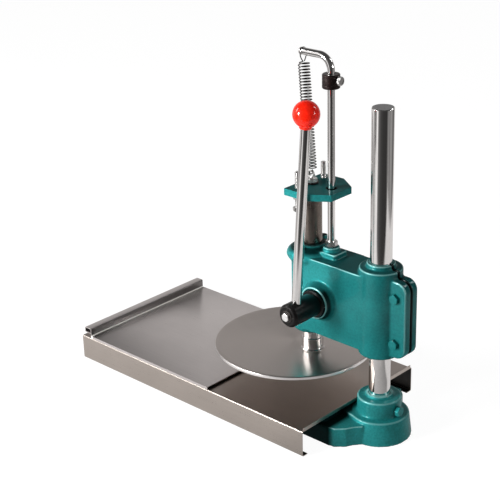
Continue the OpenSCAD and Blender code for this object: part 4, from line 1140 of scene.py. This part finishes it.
def studio_world(stage):
    """White for the camera, even dim light for dull surfaces, and the studio's room for bright metal."""
    world = bpy.data.worlds.new("studio")
    bpy.context.scene.world = world
    world.use_nodes = True
    n = Nodes(world.node_tree)
    n.tree.nodes.clear()
    direction = n.add("TexCoord").outputs["Generated"]
    room = place_group(n, studio_room, direction, Camera_azimuth=stage.azimuth - math.pi / 2)["Light"]
    seen, dull, glossy = (
        n.add("Background", Color=colour, Strength=strength).outputs[0]
        for colour, strength in (((1, 1, 1), 1.0), ((1, 1, 1), stage.sky), (room, 1.0))
    )
    path = n.add("LightPath").outputs
    unseen = n.either(path["Is Glossy Ray"], dull, glossy)
    n.add("OutputWorld", Surface=n.either(path["Is Camera Ray"], unseen, seen))


def floor_material(stage):
    """White floor that keeps the shadow. Bright metal sees it end in front of the press, as a sheet of
    paper on a table does, with the room beyond: paper where the way towards the camera is under its reach, with
    painted light and a painted shadow of the press on it."""
    material, n, shader, at = start_material(
        "studio_floor", Base_Color=(0.9, 0.9, 0.9), Roughness=0.9, Specular_IOR_Level=0.0
    )
    sine, cosine = math.sin(stage.azimuth), math.cos(stage.azimuth)
    ahead, aside = (n.vector("DOT_PRODUCT", at, way) for way in ((sine, -cosine, 0), (cosine, sine, 0)))
    sources = {"ahead": ahead, "aside": aside}
    slanted = n.maths("SUBTRACT", ahead, n.times(aside, 0.18))
    beside = n.maths("MAXIMUM", n.ramp(aside, -1.15, -1.25), n.ramp(aside, 0.88, 0.97))
    beyond = n.maths("MAXIMUM", n.ramp(slanted, stage.paper - 0.06, stage.paper + 0.06), beside)
    paper = n.greys(n.ramp(aside, -1, 1), PAPER)
    # lit: a painted pool of light on the paper, as metal sees it
    lit = n.within(sources, ("ahead", 0.1, 0.25), ("aside", -0.45, -0.55))
    paper = n.mix(lit, paper, (0.84, 0.82, 0.81))
    # shade: a painted shadow of the press on the paper, as metal sees it
    shade = n.within(
        sources, ("ahead", 0.4, 0.32), ("ahead", 0.1, 0.14), ("aside", -0.15, -0.11), ("aside", 0.28, 0.26)
    )
    paper = n.mix(n.times(shade, n.ramp(aside, -0.13, 0.25, 0.1, 0.62)), paper, (0.03, 0.03, 0.03))
    centred = n.vector("SUBTRACT", at, (0.06, 0, 0.4))
    room = place_group(n, studio_room, centred, Camera_azimuth=stage.azimuth - math.pi / 2)["Light"]
    in_metal, glow = (
        n.add("Emission", Color=colour, Strength=strength).outputs[0]
        for colour, strength in ((n.mix(beyond, paper, room), 1.0), ((1, 1, 1), 1.14))
    )
    path = n.add("LightPath").outputs
    seen = n.either(n.times(path["Is Camera Ray"], 0.84), shader.outputs[0], glow)
    n.fill(n.tree.nodes["Material Output"], Surface=n.either(path["Is Glossy Ray"], seen, in_metal))
    return material


def away(azimuth, elevation):
    """The direction in which something stands, by its angles in radians round and up."""
    flat = math.cos(elevation)
    return Vector((math.sin(azimuth) * flat, -math.cos(azimuth) * flat, math.sin(elevation)))


def area_lamp(name, azimuth, elevation, distance, size, power):
    """A square lamp, by its angles in degrees round and up, facing the middle of the press."""
    light = bpy.data.lights.new(name, "AREA")
    light.shape = "RECTANGLE"
    light.size, light.size_y = size
    light.energy = power
    lamp = bpy.data.objects.new(name, light)
    way = away(math.radians(azimuth), math.radians(elevation))
    lamp.location = AIM + way * distance
    lamp.rotation_euler = way.to_track_quat("Z", "Y").to_euler()
    bpy.context.scene.collection.objects.link(lamp)
    return lamp


class DOUGHPRESS_OT_stage(bpy.types.Operator):
    """The camera at the photographed angle, the lamps, the room and the floor"""

    bl_idname = "dough_press.stage"
    bl_label = "Stage"

    def execute(self, context):
        scene = context.scene
        stage = scene.dough_press_stage
        scene.view_settings.view_transform = "Standard"
        camera = bpy.data.cameras.new("camera")
        camera.sensor_fit = "HORIZONTAL"
        camera.sensor_width = 36.0
        camera.lens = stage.focal
        camera.clip_end = 20.0
        cosine, sine = math.cos(stage.roll), math.sin(stage.roll)
        back = away(stage.azimuth, stage.elevation)
        right = Vector((math.cos(stage.azimuth), math.sin(stage.azimuth), 0))
        up = back.cross(right)
        right, up = right * cosine + up * sine, up * cosine - right * sine
        eye = bpy.data.objects.new("camera", camera)
        turn = Matrix((right, up, back)).transposed().to_4x4()
        eye.matrix_world = Matrix.Translation(Vector(stage.target) + back * stage.distance) @ turn
        scene.collection.objects.link(eye)
        scene.camera = eye
        facing = math.degrees(stage.azimuth)
        area_lamp("key", facing - 66, 20, SOFT_BOX_REACH, (0.9, 1.1), stage.key).visible_glossy = False
        area_lamp("fill", facing + 92, 10, SOFT_BOX_REACH, (1.0, 1.4), stage.fill).visible_glossy = False
        for name, azimuth, elevation, distance, size, gain in GLINTS:
            power = stage.key * size[0] * size[1] * gain
            area_lamp(name, facing + azimuth, elevation, distance, size, power).visible_diffuse = False
        studio_world(stage)
        corners = [(x * FLOOR_HALF, y * FLOOR_HALF, FLOOR_Z) for x, y in ((-1, -1), (1, -1), (1, 1), (-1, 1))]
        mesh = bpy.data.meshes.new("floor")
        mesh.from_pydata(corners, [], [(0, 1, 2, 3)])
        mesh.materials.append(floor_material(stage))
        floor = bpy.data.objects.new("floor", mesh)
        scene.collection.objects.link(floor)
        return {"FINISHED"}


class DOUGHPRESS_PT_panel(bpy.types.Panel):
    """Lists the pieces and the stage"""

    bl_idname = "DOUGHPRESS_PT_panel"
    bl_label = "Dough press"
    bl_space_type = "VIEW_3D"
    bl_region_type = "UI"
    bl_category = "Dough press"

    def draw(self, context):
        for operator in OPERATORS:
            self.layout.operator(operator.bl_idname)
        for group in ("dough_press_colours", "dough_press_sizes", "dough_press_stage"):
            settings = getattr(context.scene, group)
            box = self.layout.box()
            for name in settings.__annotations__:
                box.prop(settings, name)


OPERATORS = (
    DOUGHPRESS_OT_stage,
    DOUGHPRESS_OT_castings,
    DOUGHPRESS_OT_sheet_metal,
    DOUGHPRESS_OT_press_plate,
    DOUGHPRESS_OT_rods,
    DOUGHPRESS_OT_lever,
    DOUGHPRESS_OT_spring,
    DOUGHPRESS_OT_fasteners,
    DOUGHPRESS_OT_stop_collar,
)
GROUP_CLASSES = (DoughPressColours, DoughPressSizes, DoughPressStage)
CLASSES = GROUP_CLASSES + OPERATORS + (DOUGHPRESS_PT_panel,)


def register():
    """Registers the classes and hangs the settings on the scene."""
    for cls in CLASSES:
        bpy.utils.register_class(cls)
    bpy.types.Scene.dough_press_colours = PointerProperty(type=DoughPressColours)
    bpy.types.Scene.dough_press_sizes = PointerProperty(type=DoughPressSizes)
    bpy.types.Scene.dough_press_stage = PointerProperty(type=DoughPressStage)


def unregister():
    """Takes the settings off the scene and unregisters the classes."""
    del bpy.types.Scene.dough_press_stage
    del bpy.types.Scene.dough_press_sizes
    del bpy.types.Scene.dough_press_colours
    for cls in reversed(CLASSES):
        bpy.utils.unregister_class(cls)


def main():
    """Makes every piece."""
    register()
    for operator in OPERATORS:
        group, name = operator.bl_idname.split(".")
        getattr(getattr(bpy.ops, group), name)()


if __name__ == "__main__":
    main()
